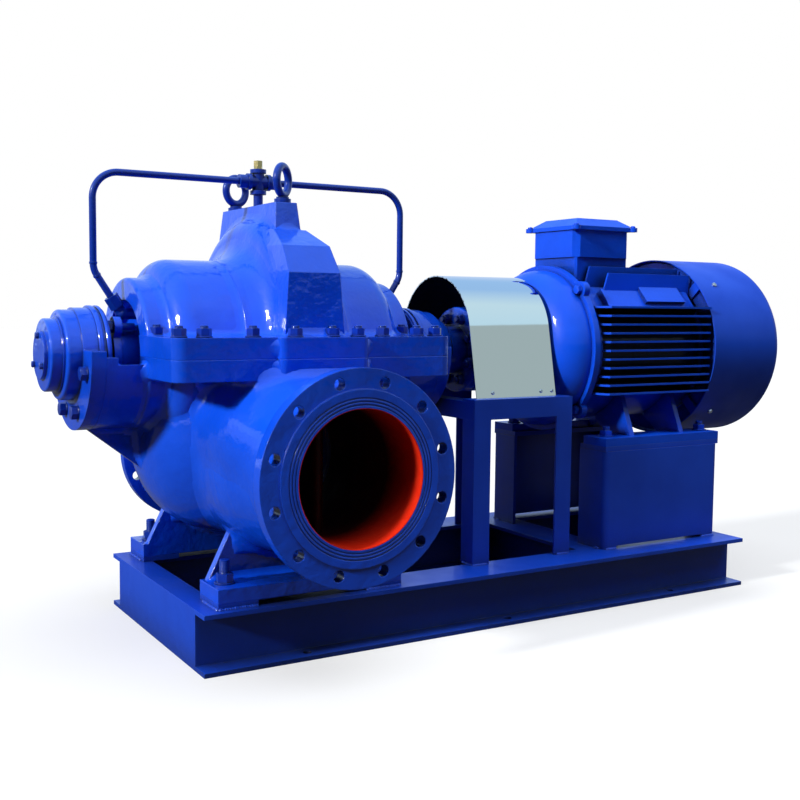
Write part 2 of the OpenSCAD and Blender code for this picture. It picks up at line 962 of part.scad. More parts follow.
module guard_outline(r) {
    lean_y = r * cos(guard_flare);
    lean_z = guard_lift + r * sin(guard_flare);
    foot_y = lean_y + (lean_z + stand_drop) * tan(guard_flare);
    difference() {
        union() {
            translate([0, guard_lift]) circle(r);
            polygon([[-lean_y, lean_z], [-foot_y, -stand_drop], [foot_y, -stand_drop], [lean_y, lean_z]]);
        }
        translate([-2 * r, -stand_drop - 2 * r]) square([4 * r, 2 * r]);
    }
}

module coupling_guard() {
    color(polished) translate([guard_from, 0, shaft_z]) rotate([90, 0, 90]) linear_extrude(guard_len)
        difference() {
            guard_outline(guard_r + guard_t);
            guard_outline(guard_r);
            translate([0, -past]) guard_outline(guard_r);
        }
}

// One side of the stand: two angle legs and an angle bar across their tops
module stand_side() {
    leg_top = stand_top - angle_w;
    translate([stand_from, -stand_w / 2, 0]) {
        for (end = [0, 1])
            translate([end * stand_len, 0, 0]) mirror([end, 0, 0])
                translate([0, 0, beam_h]) linear_extrude(leg_top - beam_h) {
                    square([angle_w, angle_t]);
                    square([angle_t, angle_w]);
                }
        block([0, 0, leg_top], [stand_len, angle_t, stand_top]);
        block([0, 0, stand_top - angle_t], [stand_len, angle_w, stand_top]);
    }
}

module guard_stand_front() {
    color(enamel) stand_side();
}

module guard_stand_rear() {
    color(enamel) mirror([0, 1, 0]) stand_side();
}

// The cross bar that ties the two sides of the stand together at the pump end
module guard_stand_tie() {
    reach = stand_w / 2 - angle_t;
    low = stand_top - angle_t;
    color(enamel) translate([stand_from, 0, 0]) {
        block([0, -reach, stand_top - angle_w], [angle_t, reach, low]);
        block([0, -reach, low - angle_t], [angle_w, reach, low]);
    }
}

// Motor pedestals

// A pedestal bent from plate, open towards the middle of the frame
module pedestal() {
    from = motor_x + pedestal_shift - pedestal_len / 2;
    to = from + pedestal_len;
    front = -pedestal_w / 2;
    round = 14;
    difference() {
        union() {
            block([from + round, front, beam_h], [to - round, front + pedestal_t, pedestal_top]);
            for (end = [0, 1])
                translate([end == 0 ? from + round : to - round, front + round, beam_h])
                    cylinder(h = pedestal_top - beam_h, r = round);
            block([from, front + round, beam_h], [from + pedestal_t, front + pedestal_d, pedestal_top]);
            block([to - pedestal_t, front + round, beam_h], [to, front + pedestal_d, pedestal_top]);
        }
        block([from + pedestal_t, front + pedestal_t, beam_h - past],
            [to - pedestal_t, front + pedestal_d + past, pedestal_top + past]);
        block([from + 40, front - past, beam_h - past], [to - 50, front + round, beam_h + pedestal_gap]);
    }
}

module pedestal_front() {
    color(enamel) pedestal();
}

module pedestal_rear() {
    color(enamel) mirror([0, 1, 0]) pedestal();
}

module foot_holes(low, high) {
    for (x = [-1, 1], y = [-1, 1])
        translate([motor_x + x * foot_pitch / 2, y * foot_gauge / 2, low]) cylinder(h = high - low, d = foot_hole);
}

module pedestal_plates() {
    outer = foot_gauge / 2 + foot_w / 2;
    middle = motor_x + foot_shift;
    color(enamel) difference() {
        both_sides() block([middle - foot_len / 2, -outer, pedestal_top],
            [middle + foot_len / 2, -pedestal_w / 2 + pedestal_d, foot_z]);
        foot_holes(pedestal_top - past, foot_z + past);
    }
}

// Motor

// A side fin, seen from above: its front end rises in a slope
module side_fin() {
    slope = 22;
    polygon([[frame_from, -frame_r / 2], [frame_from, -frame_r + 22], [frame_from + slope, -fin_reach],
        [fan_from - 4, -fin_reach], [fan_from - 4, -frame_r / 2]]);
}

// An upright top fin of a given height, seen from the side: its front end leans back
module top_fin(from, height) {
    lean = 16;
    polygon([[from, 0], [from, height - 50], [from + lean, height], [frame_to, height], [frame_to, 0]]);
}

// The frame with its fins, its flange rings and a bare pad on each shoulder
module motor_frame() {
    ring_t = 16;
    ring_h = 16;
    tall_y = 92;
    low_y = 132;
    pad_len_x = 130;
    pad_angle = 42;
    pad_reach = 202;
    color(enamel) at_shaft() difference() {
        union() {
            along(frame_from, frame_to, frame_r);
            along(frame_from, frame_from + ring_t, frame_r + ring_h);
            both_sides() {
                for (k = [-fin_rows:fin_rows])
                    translate([0, 0, k * fin_pitch - fin_t / 2]) linear_extrude(fin_t) side_fin();
                translate([0, -tall_y + fin_t / 2, 0]) rotate([90, 0, 0]) linear_extrude(fin_t)
                    top_fin(frame_from + 42, top_fin_h);
                translate([0, -low_y + fin_t / 2, 0]) rotate([90, 0, 0]) linear_extrude(fin_t)
                    top_fin(frame_from + 66, low_fin_h);
                rotate([-pad_angle, 0, 0])
                    block([frame_from + 180, -pad_reach, -24], [frame_from + 180 + pad_len_x, 0, 24]);
                rotate([4 - pad_angle, 0, 0])
                    block([frame_from + 60, -pad_reach + 8, -34], [frame_to - 10, 0, 34]);
            }
        }
        along(frame_from - past, frame_to + past, journal_space);
    }
}

// The feet, bolted under the frame, each with two upright ribs
module motor_feet() {
    rib_t = 14;
    rib_gap = 164;
    rib_out = foot_gauge / 2 + 16;
    rib_top = fin_rows * fin_pitch + fin_t / 2 + 3;
    saddle_y = 70;
    middle = motor_x + foot_shift;
    color(enamel) difference() {
        both_sides() {
            block([middle - foot_len / 2, -foot_gauge / 2 - foot_w / 2, foot_z],
                [middle + foot_len / 2, -foot_gauge / 2 + foot_w / 2, foot_z + foot_t]);
            for (x = [-1, 1])
                translate([middle + x * rib_gap / 2, 0, 0]) rotate([0, -90, 0])
                    linear_extrude(rib_t, center = true)
                        polygon([[foot_z, -rib_out], [foot_z + foot_t, -rib_out],
                            [shaft_z - rib_top, -frame_r + 24], [shaft_z - rib_top, -saddle_y],
                            [shaft_z - frame_r, -saddle_y], [foot_z, -foot_gauge / 2 + foot_w / 2]]);
        }
        foot_holes(foot_z - past, foot_z + foot_t + past);
        at_shaft() along(frame_from - past, frame_to + past, frame_r + running);
    }
}

// The bell of the drive end shield, on a rim with four bolt ears
module motor_shield_drive() {
    nose_r = 92;
    bell_r = frame_r + 14;
    bell_round = 76;
    rim_r = frame_r + 26;
    rim_t = 16;
    ear_r = 20;
    color(enamel) at_shaft() translate([shield_face, 0, 0]) difference() {
        union() {
            turned() {
                square([nose_r, shield_len]);
                square([bell_r - bell_round, shield_len]);
                intersection() {
                    translate([bell_r - bell_round, bell_round]) circle(bell_round);
                    square([bell_r, bell_round]);
                }
                translate([0, bell_round]) square([bell_r, shield_len - bell_round]);
            }
            translate([shield_len - rim_t, 0, 0]) rotate([0, 90, 0]) linear_extrude(rim_t) {
                circle(rim_r);
                for (k = [0:3]) rotate(45 + k * 90) translate([rim_r - 2, 0]) circle(ear_r);
            }
        }
        along(-past, bearing_seat + past, motor_shaft_r + running);
        along(bearing_seat - past, shield_len + past, journal_space);
    }
}

module motor_shield_fan() {
    plate_t = 24;
    boss_t = 44;
    boss_r = 90;
    color(enamel) at_shaft() difference() {
        union() {
            along(frame_to, frame_to + plate_t, frame_r);
            along(frame_to, frame_to + boss_t, boss_r);
        }
        along(frame_to - past, frame_to + bearing_seat + past, journal_space);
        along(frame_to + bearing_seat - past, frame_to + boss_t + past, motor_shaft_r + running);
    }
}

// The sheet fan cover with its rear grille and the lugs that hold it to the fan end shield
module fan_cover() {
    round = 26;
    grille_in = 70;
    ring_pitch = 20;
    ring_gap = 11;
    rings = 6;
    grille_out = fan_r - round - 14;
    spokes = 8;
    spoke_w = 12;
    lug_w = 24;
    color(enamel) at_shaft() {
        turned() difference() {
            union() {
                translate([0, fan_from]) square([fan_r, fan_len - round]);
                translate([0, fan_from]) square([fan_r - round, fan_len]);
                translate([fan_r - round, fan_to - round]) circle(round);
            }
            translate([0, fan_from - past]) square([fan_r - fan_sheet, fan_len - round + past]);
            translate([0, fan_from - past]) square([fan_r - round, fan_len - fan_sheet + past]);
            translate([fan_r - round, fan_to - round]) circle(round - fan_sheet);
            for (k = [0:rings])
                translate([grille_in + k * (grille_out - grille_in) / rings - ring_gap, fan_to - 2 * fan_sheet])
                    square([ring_gap, 3 * fan_sheet]);
        }
        for (k = [0:spokes - 1])
            rotate([k * 360 / spokes, 0, 0])
                block([fan_to - fan_sheet, -spoke_w / 2, grille_in - ring_pitch],
                    [fan_to, spoke_w / 2, grille_out + 2]);
        both_sides() for (k = [-1, 1])
            rotate([k * 45, 0, 0])
                block([fan_from + 1, -fan_r + fan_sheet / 2, -lug_w / 2], [fan_from + 19, -frame_r - 0.2, lug_w / 2]);
    }
}

// Terminal box

module bevelled(len, wid, bevel) {
    polygon([for (s = [[-1, -1], [1, -1], [1, 1], [-1, 1]])
        each s[0] * s[1] > 0
            ? [[s[0] * len / 2, s[1] * (wid / 2 - bevel)], [s[0] * (len / 2 - bevel), s[1] * wid / 2]]
            : [[s[0] * (len / 2 - bevel), s[1] * wid / 2], [s[0] * len / 2, s[1] * (wid / 2 - bevel)]]]);
}

module terminal_box() {
    riser_in = 5;
    color(enamel) at_shaft() translate([box_x, 0, 0]) difference() {
        union() {
            linear_extrude(riser_top) bevelled(box_len - 2 * riser_in, box_w - 2 * riser_in, riser_in);
            translate([0, 0, riser_top]) linear_extrude(box_h) bevelled(box_len, box_w, box_bevel);
        }
        along(-box_len, box_len, frame_r + running);
    }
}

// The lid: a rim with an ear at each corner and a bevelled top
module terminal_lid() {
    rim = 10;
    ear_r = 11;
    top_in = 30;
    half_x = box_len / 2 + lid_over / 2;
    half_y = box_w / 2 + lid_over / 2;
    color(enamel) at_shaft() translate([box_x, 0, box_wall_top]) {
        linear_extrude(rim) {
            bevelled(2 * half_x, 2 * half_y, box_bevel);
            for (x = [-1, 1], y = [-1, 1])
                translate([x * (half_x - 2), y * (half_y - 2)]) circle(ear_r);
        }
        intersection() {
            translate([0, half_y, rim - past]) rotate([90, 0, 0]) linear_extrude(2 * half_y)
                polygon([[-half_x, 0], [half_x, 0], [half_x - top_in, lid_h - rim + past],
                    [-half_x + top_in, lid_h - rim + past]]);
            translate([-half_x, 0, rim - past]) rotate([90, 0, 90]) linear_extrude(2 * half_x)
                polygon([[-half_y, 0], [half_y, 0], [half_y - top_in, lid_h - rim + past],
                    [-half_y + top_in, lid_h - rim + past]]);
            linear_extrude(lid_h + past) bevelled(2 * half_x, 2 * half_y, box_bevel);
        }
    }
}

// Blank plugs in the cable entries: two at the rear and one at the motor's fan end
module terminal_plugs() {
    plug_r = 22;
    plug_t = 9;
    plug_gap = 66;
    color(deep_enamel) at_shaft() translate([box_x, 0, riser_top + box_h / 2]) {
        for (x = [-1, 1])
            translate([x * plug_gap / 2, 0, 0]) across(box_w / 2, box_w / 2 + plug_t, plug_r);
        along(box_len / 2, box_len / 2 + plug_t, plug_r);
    }
}

// Flush pipes and fittings

// A pipe from the cross fitting down to a stuffing box, with a bend welded in at its lower end
module flush_pipe() {
    r = pipe_d / 2;
    from = 44;
    bead_r = r + 1;
    bead = 4;
    translate([0, 0, pipe_h]) along(from, pipe_reach - pipe_bend, r);
    translate([pipe_reach - pipe_bend, 0, pipe_h - pipe_bend]) rotate([90, 0, 0])
        rotate_extrude(angle = 90) translate([pipe_bend, 0]) circle(r);
    translate([pipe_reach, 0, kink_z + 1]) cylinder(h = pipe_h - pipe_bend - kink_z - 1, r = r);
    translate([pipe_reach, 0, kink_z - bead / 2]) cylinder(h = bead, r = bead_r);
    translate([pipe_reach - kink_r, 0, kink_z]) rotate([90, pipe_kink, 0])
        rotate_extrude(angle = pipe_kink) translate([kink_r, 0]) circle(r);
    translate([corner_d, 0, tap_h]) rotate([0, pipe_kink, 0]) {
        translate([0, 0, slope_run - bead / 2]) cylinder(h = bead, r = bead_r);
        translate([0, 0, nut_to]) cylinder(h = slope_run - nut_to - 1, r = r);
    }
}

module flush_pipe_left() {
    color(enamel) at_pump() mirror([1, 0, 0]) flush_pipe();
}

module flush_pipe_right() {
    color(enamel) at_pump() flush_pipe();
}

// The elbow that takes a pipe into a stuffing box, with its pipe nut
module flush_elbow() {
    nut_r = 15;
    translate([corner_d, 0, tap_h]) {
        sphere(elbow_r + 1.5);
        rotate([0, pipe_kink, 0]) {
            cylinder(h = nut_from + past, r = elbow_r);
            translate([0, 0, nut_from]) cylinder(h = nut_to - nut_from, r = nut_r, $fn = 6);
        }
    }
    translate([0, 0, tap_h]) {
        along(recess_face, corner_d, elbow_r);
        along(recess_face - 14, recess_face + past, tap_r);
    }
}

module flush_elbow_left() {
    color(enamel) at_pump() mirror([1, 0, 0]) flush_elbow();
}

module flush_elbow_right() {
    color(enamel) at_pump() flush_elbow();
}

// The beaded cross on top of the pump with its nipple and pipe nuts
module cross_fitting() {
    body_r = 13;
    bead_r = 17;
    arm = 26;
    color(enamel) at_pump() {
        translate([0, 0, lift_h - 22]) cylinder(h = pipe_h - lift_h, r = nipple_r);
        translate([0, 0, pipe_h - arm]) cylinder(h = 2 * arm, r = body_r);
        for (side = [-1, 1])
            translate([0, 0, pipe_h + side * (arm - 4)]) cylinder(h = 8, r = bead_r, center = true);
        translate([0, 0, pipe_h]) {
            along(-arm, arm, body_r);
            both_ends() {
                along(arm - 8, arm, bead_r);
                along(arm, 44, 14);
            }
        }
    }
}

module vent_plug() {
    color(brass_colour) at_pump() translate([0, 0, pipe_h + 26]) {
        cylinder(h = 6, r = 9);
        translate([0, 0, 6]) cylinder(h = 12, r = 10, $fn = 6);
    }
}

// An eye bolt: ring, neck, collar and shank
module eye_bolt() {
    ring_z = lift_h + collar_h + eye_ring + eye_bar / 2 - 3;
    translate([0, 0, lift_h]) cylinder(h = collar_h - 4, r = collar_r);
    translate([0, 0, lift_h]) cylinder(h = collar_h, r = collar_r - 4);
    translate([0, 0, lift_h - 28]) cylinder(h = 30, r = eye_shank);
    translate([0, 0, ring_z]) rotate([90, 0, 0]) rotate_extrude() translate([eye_ring, 0]) circle(d = eye_bar);
}

module eye_bolt_front() {
    color(enamel) at_pump() translate([0, -eye_pitch / 2, 0]) rotate([0, 0, 40]) eye_bolt();
}

module eye_bolt_rear() {
    color(enamel) at_pump() translate([0, eye_pitch / 2, 0]) rotate([0, 0, 18]) eye_bolt();
}

rail_front();
rail_rear();
end_channel_left();
end_channel_right();
cross_beam();
pump_pads();
lower_casing();
upper_casing();
bearing_housing_left();
bearing_housing_right();
bearing_cover_left();
bearing_cover_right();
gland_left();
gland_right();
pump_shaft();
coupling_pump_half();
coupling_motor_half();
coupling_guard();
guard_stand_front();
guard_stand_rear();
guard_stand_tie();
pedestal_front();
pedestal_rear();
pedestal_plates();
motor_frame();
motor_feet();
motor_shield_drive();
motor_shield_fan();
fan_cover();
motor_shaft();
motor_fan();
terminal_box();
terminal_lid();
terminal_plugs();
flush_pipe_left();
flush_pipe_right();
flush_elbow_left();
flush_elbow_right();
cross_fitting();
vent_plug();
eye_bolt_front();
eye_bolt_rear();
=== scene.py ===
# %% [markdown]
# # A split case pump set
# A horizontal split case pump is driven through a pin coupling by a finned motor, and both stand on a
# welded frame of steel beams. The solid pieces come ready from the CAD frame. This lesson gives them
# their finishes, adds the fasteners and weld beads that hold them together, and lights the result.

# %% Load the frame
import math

import bmesh
import bpy
from mathutils import Matrix, Vector
from mathutils.bvhtree import BVHTree


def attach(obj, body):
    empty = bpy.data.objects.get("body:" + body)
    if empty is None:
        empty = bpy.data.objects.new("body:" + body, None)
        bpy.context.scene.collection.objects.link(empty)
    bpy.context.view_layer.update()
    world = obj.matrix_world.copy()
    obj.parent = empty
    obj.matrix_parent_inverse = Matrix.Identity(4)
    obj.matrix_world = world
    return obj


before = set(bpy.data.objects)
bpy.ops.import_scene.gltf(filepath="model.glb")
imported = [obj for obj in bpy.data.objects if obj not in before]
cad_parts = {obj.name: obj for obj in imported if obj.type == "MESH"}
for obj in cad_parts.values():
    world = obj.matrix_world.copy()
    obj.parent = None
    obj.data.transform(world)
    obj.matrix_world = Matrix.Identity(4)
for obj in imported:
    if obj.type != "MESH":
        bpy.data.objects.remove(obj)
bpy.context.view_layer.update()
MM = 0.001

# %% [markdown]
# ## Camera
# The photograph was taken from the pump's free end, a little above the shaft, with a normal lens.
# Its place was worked out from the base frame and the suction flange, so the camera is set by numbers:
# a point, a heading, a small downward tilt, and a shift for the picture's crop.

# %% Camera
IMAGE_PX = 800
SENSOR = 36.0
FOCAL_PX = 1066.2
CENTRE_PX = (368.8, 395.6)
CAMERA_MM = (-1411.3, -2091.3, 681.5)
HEADING_DEG, DOWN_DEG, ROLL_DEG = -29.99, 4.645, 0.461

cam_data = bpy.data.cameras.new("camera")
cam_data.sensor_width = SENSOR
cam_data.lens = FOCAL_PX * SENSOR / IMAGE_PX
cam_data.shift_x = (IMAGE_PX / 2 - CENTRE_PX[0]) / IMAGE_PX
cam_data.shift_y = (CENTRE_PX[1] - IMAGE_PX / 2) / IMAGE_PX
cam_data.clip_end = 60
camera = bpy.data.objects.new("camera", cam_data)
bpy.context.scene.collection.objects.link(camera)
heading = Matrix.Rotation(math.radians(HEADING_DEG), 4, "Z")
tilt = Matrix.Rotation(math.radians(90 - DOWN_DEG), 4, "X")
roll = Matrix.Rotation(math.radians(ROLL_DEG), 4, "Z")
place = Matrix.Translation(Vector(CAMERA_MM) * MM)
camera.matrix_world = place @ heading @ tilt @ roll
bpy.context.scene.camera = camera
print("lens", round(cam_data.lens, 2), "mm")

# %% [markdown]
# ## Tools for materials
# Colours are written as the sRGB hex values that a painter would pick, and one function turns them into
# the linear values that the renderer uses. One small function adds a node with its settings and links.

# %% Material tools


def linear(hex_colour):
    """Turns '#rrggbb' into linear RGBA."""
    parts = [int(hex_colour[i:i + 2], 16) / 255 for i in (1, 3, 5)]
    return [p / 12.92 if p <= 0.04045 else ((p + 0.055) / 1.055) ** 2.4 for p in parts] + [1.0]


def add_node(tree, kind, settings=None, links=None):
    """Adds a node, sets its properties or inputs, and links inputs to other nodes' outputs."""
    node = tree.nodes.new(kind)
    for key, value in (settings or {}).items():
        if isinstance(key, str) and hasattr(node, key):
            setattr(node, key, value)
        else:
            node.inputs[key].default_value = value
    for key, source in (links or {}).items():
        tree.links.new(source, node.inputs[key])
    return node


def start_material(name):
    """An empty material with its tree, its surface shader and the object's own coordinates."""
    material = bpy.data.materials.new(name)
    material.use_nodes = True
    tree = material.node_tree
    tree.nodes.clear()
    shader = add_node(tree, "ShaderNodeBsdfPrincipled")
    add_node(tree, "ShaderNodeOutputMaterial", links={"Surface": shader.outputs[0]})
    coords = add_node(tree, "ShaderNodeTexCoord").outputs["Object"]
    return material, tree, shader, coords


def per_metre(size_mm):
    """The scale of a pattern whose features are about this many millimetres across."""
    return 1000.0 / size_mm


# %% [markdown]
# ## Enamel
# The pump is cast iron, filled and sprayed with a thick royal blue enamel. The wet film levels out, but
# it follows the lumps of the casting, so highlights wander and break up. Three things give that to the
# eye: slow waves from the casting, an orange peel from the spray, and a clear gloss on top. Real orange peel
# is too fine to show at this distance, so it is drawn several millimetres wide. Paint and cast edges are
# never sharp, so a bevel node rounds the normals there and each edge catches the light. Corners and the gaps
# between fins get a painted shade: an ambient occlusion node finds them and darkens the paint there. The
# fillets and the upper casing go without this painted shade, because it would draw dark lines where the
# fillets dip under the surface. The beams and the motor have a thinner, duller coat of the same blue.

# %% Enamel
CAST_BLUE = ("#0b56f0", "#0a36b4")
STEEL_BLUE = ("#0f4dd8", "#0d309f")
NUT_BLUE = ("#0b37a6", "#092476")
# Near-black blue for the painted shade that the enamels put in corners, creases and gaps.
CREVICE_SHADE = "#0a0d1c"
CLOUD_MM = 110


def enamel(name, blues, wave, peel, roughness, coat, gloss, edge_mm, shade_reach_mm):
    """Blue enamel; wave and peel are the width and height of its unevenness, in millimetres."""
    material, tree, shader, coords = start_material(name)
    cloud = add_node(tree, "ShaderNodeTexNoise", {"Scale": per_metre(CLOUD_MM), "Detail": 5.0},
                     {"Vector": coords})
    spread = add_node(tree, "ShaderNodeMapRange",
                      {"From Min": 0.35, "From Max": 0.75, "To Min": 0.0, "To Max": 0.35},
                      {"Value": cloud.outputs[0]})
    tint = add_node(tree, "ShaderNodeMix",
                    {"data_type": "RGBA", 6: linear(blues[0]), 7: linear(blues[1])},
                    {0: spread.outputs[0]})
    paint = tint.outputs[2]
    # Painted shade: ambient occlusion darkens the paint in corners, creases and gaps between fins.
    if shade_reach_mm:
        nook = add_node(tree, "ShaderNodeAmbientOcclusion", {"samples": 4, "Distance": shade_reach_mm * MM})
        unshaded = add_node(tree, "ShaderNodeMapRange", {"From Min": 0.25, "From Max": 0.8},
                         {0: nook.outputs["AO"]})
        paint = add_node(tree, "ShaderNodeMix", {"data_type": "RGBA", 6: linear(CREVICE_SHADE)},
                         {0: unshaded.outputs[0], 7: paint}).outputs[2]
    tree.links.new(paint, shader.inputs["Base Color"])
    lumps = add_node(tree, "ShaderNodeTexNoise", {"Scale": per_metre(wave[0]), "Detail": 2.0},
                     {"Vector": coords})
    spray = add_node(tree, "ShaderNodeTexNoise", {"Scale": per_metre(peel[0]), "Detail": 1.0},
                     {"Vector": coords})
    edge = add_node(tree, "ShaderNodeBevel", {"samples": 4, "Radius": edge_mm * MM})
    lumpy = add_node(tree, "ShaderNodeBump", {"Strength": 1.0, "Distance": wave[1] * MM},
                     {"Height": lumps.outputs[0], "Normal": edge.outputs[0]})
    peeled = add_node(tree, "ShaderNodeBump", {"Strength": 1.0, "Distance": peel[1] * MM},
                      {"Height": spray.outputs[0], "Normal": lumpy.outputs[0]})
    tree.links.new(peeled.outputs[0], shader.inputs["Normal"])
    tree.links.new(peeled.outputs[0], shader.inputs["Coat Normal"])
    dull = add_node(tree, "ShaderNodeMapRange",
                    {"From Min": 0.3, "From Max": 0.7,
                     "To Min": roughness * 0.8, "To Max": roughness * 1.25},
                    {"Value": cloud.outputs[0]})
    tree.links.new(dull.outputs[0], shader.inputs["Roughness"])
    shader.inputs["Specular IOR Level"].default_value = gloss
    shader.inputs["Coat Weight"].default_value = coat
    shader.inputs["Coat Roughness"].default_value = 0.05
    shader.inputs["Coat IOR"].default_value = 1.5
    return material


cast_enamel = enamel("gloss_enamel_on_cast_iron", CAST_BLUE, wave=(48, 2.2), peel=(8, 0.45),
                     roughness=0.35, coat=1.0, gloss=0.1, edge_mm=3.5, shade_reach_mm=60)
casing_enamel = enamel("gloss_enamel_with_red_lining", CAST_BLUE, wave=(52, 2.6), peel=(8, 0.45),
                       roughness=0.35, coat=1.0, gloss=0.1, edge_mm=3.0, shade_reach_mm=80)
fillet_enamel = enamel("gloss_enamel_on_cast_fillets", CAST_BLUE, wave=(50, 2.4), peel=(8, 0.45),
                       roughness=0.35, coat=1.0, gloss=0.1, edge_mm=3.0, shade_reach_mm=0)
nut_enamel = enamel("gloss_enamel_over_fasteners", NUT_BLUE, wave=(9, 0.15), peel=(4, 0.04),
                    roughness=0.35, coat=0.7, gloss=0.15, edge_mm=1.0, shade_reach_mm=16)
plate_enamel = enamel("satin_enamel_on_rolled_steel", STEEL_BLUE, wave=(130, 0.5), peel=(5, 0.03),
                      roughness=0.42, coat=0.15, gloss=0.5, edge_mm=1.5, shade_reach_mm=150)
motor_enamel = enamel("satin_enamel_on_motor_castings", CAST_BLUE, wave=(26, 0.45), peel=(7, 0.22),
                      roughness=0.4, coat=0.4, gloss=0.15, edge_mm=1.5, shade_reach_mm=80)
cover_enamel = enamel("satin_enamel_on_pressed_sheet", STEEL_BLUE, wave=(160, 0.4), peel=(4, 0.02),
                      roughness=0.45, coat=0.1, gloss=0.3, edge_mm=1.5, shade_reach_mm=40)
print("enamels", cast_enamel.name, plate_enamel.name, motor_enamel.name)

# %% [markdown]
# ## Red lining of the nozzles
# The water side of the casing is brushed with red oxide primer. It shows inside the bores of the suction
# and discharge flanges. The casing is one piece, so its enamel gives way to the primer by place: inside a
# cylinder about each bore. Further in, a painted shade darkens the primer to near black, for the dark of
# the passage.

# %% Red lining
BORE_X, BORE_Z, BORE_R = -490 * MM, 382 * MM, 126.2 * MM
OUTLET_X, OUTLET_Z, OUTLET_R = -478 * MM, 330 * MM, 101.2 * MM
LINED_FROM = 120 * MM
tree = casing_enamel.node_tree
shader = next(n for n in tree.nodes if n.type == "BSDF_PRINCIPLED")
coords = next(n for n in tree.nodes if n.type == "TEX_COORD").outputs["Object"]
spot = add_node(tree, "ShaderNodeSeparateXYZ", links={0: coords})
depth = add_node(tree, "ShaderNodeMath", {"operation": "ABSOLUTE"}, {0: spot.outputs[1]})


def bore_mask(centre, bore_r, side):
    """1 inside a bore along Y, on the side of the pump that the sign of side says, and 0 elsewhere."""
    axis = (centre[0], 0, centre[1])
    off = add_node(tree, "ShaderNodeVectorMath", {"operation": "SUBTRACT", 1: axis}, {0: coords})
    flat = add_node(tree, "ShaderNodeVectorMath", {"operation": "MULTIPLY", 1: (1, 0, 1)},
                    {0: off.outputs[0]})
    radius = add_node(tree, "ShaderNodeVectorMath", {"operation": "LENGTH"}, {0: flat.outputs[0]})
    inside = add_node(tree, "ShaderNodeMath", {"operation": "LESS_THAN", 1: bore_r},
                      {0: radius.outputs["Value"]})
    along = add_node(tree, "ShaderNodeMath", {"operation": "MULTIPLY", 1: side}, {0: spot.outputs[1]})
    ahead = add_node(tree, "ShaderNodeMath", {"operation": "GREATER_THAN", 1: LINED_FROM},
                     {0: along.outputs[0]})
    return add_node(tree, "ShaderNodeMath", {"operation": "MULTIPLY"},
                    {0: inside.outputs[0], 1: ahead.outputs[0]}).outputs[0]


suction = bore_mask((BORE_X, BORE_Z), BORE_R, -1)
discharge = bore_mask((OUTLET_X, OUTLET_Z), OUTLET_R, 1)
lined = add_node(tree, "ShaderNodeMath", {"operation": "MAXIMUM"}, {0: suction, 1: discharge})
brushed = add_node(tree, "ShaderNodeTexNoise", {"Scale": per_metre(14), "Detail": 4.0}, {"Vector": coords})
primer = add_node(tree, "ShaderNodeMix", {"data_type": "RGBA", 6: linear("#ef3418"), 7: linear("#d8230f")},
                  {0: brushed.outputs[0]})
# Painted shade: the primer darkens to near black as the bore goes in, from 450 to 350 mm off the middle.
passage_shade = add_node(tree, "ShaderNodeMapRange",
                {"From Min": 450 * MM, "From Max": 350 * MM, "To Min": 0.0, "To Max": 0.97},
                {"Value": depth.outputs[0]})
shaded_primer = add_node(tree, "ShaderNodeMix", {"data_type": "RGBA", 7: linear("#1c0a08")},
                    {0: passage_shade.outputs[0], 6: primer.outputs[2]})
paint = shader.inputs["Base Color"].links[0].from_socket
both = add_node(tree, "ShaderNodeMix", {"data_type": "RGBA"},
                {0: lined.outputs[0], 6: paint, 7: shaded_primer.outputs[2]})
tree.links.new(both.outputs[2], shader.inputs["Base Color"])
varnish = add_node(tree, "ShaderNodeMapRange", {"To Min": 1.0, "To Max": 0.05}, {0: lined.outputs[0]})
tree.links.new(varnish.outputs[0], shader.inputs["Coat Weight"])
print("lining inside bores of", round(BORE_R * 2000), "and", round(OUTLET_R * 2000), "mm")

# %% [markdown]
# ## Bare metals
# The coupling guard is polished stainless sheet, nearly a mirror with a faint roll direction. The shafts
# are turned steel, oiled dark. The vent plug is brass, and a few screws are bright zinc plate. Turning and
# rolling marks are finer than a pixel here, so they are drawn some millimetres wide.

# %% Bare metals


def metal(name, hex_colour, roughness, grain_mm, stretch, bump_um):
    """A metal whose fine marks run along X when stretch is small in X."""
    material, tree, shader, coords = start_material(name)
    mapping = add_node(tree, "ShaderNodeMapping", {"Scale": stretch}, {"Vector": coords})
    marks = add_node(tree, "ShaderNodeTexNoise", {"Scale": per_metre(grain_mm), "Detail": 6.0},
                     {"Vector": mapping.outputs[0]})
    dull = add_node(tree, "ShaderNodeMapRange",
                    {"From Min": 0.3, "From Max": 0.7,
                     "To Min": roughness * 0.7, "To Max": roughness * 1.4},
                    {"Value": marks.outputs[0]})
    tree.links.new(dull.outputs[0], shader.inputs["Roughness"])
    bump = add_node(tree, "ShaderNodeBump", {"Strength": 1.0, "Distance": bump_um * MM * MM},
                    {"Height": marks.outputs[0]})
    tree.links.new(bump.outputs[0], shader.inputs["Normal"])
    shader.inputs["Base Color"].default_value = linear(hex_colour)
    shader.inputs["Metallic"].default_value = 1.0
    return material


POLISHED = "#e2e6e6"
stainless = metal("polished_stainless_sheet", POLISHED, 0.04, 60, (0.5, 1, 1), 60)
shaft_steel = metal("oiled_turned_steel", "#2a2b30", 0.3, 4, (6, 1, 1), 20)
brass = metal("turned_brass", "#e6cf94", 0.22, 3, (1, 1, 6), 15)
zinc = metal("bright_zinc_plate", "#c9ccd0", 0.25, 4, (1, 1, 1), 15)
print("metals", stainless.name, shaft_steel.name, brass.name, zinc.name)
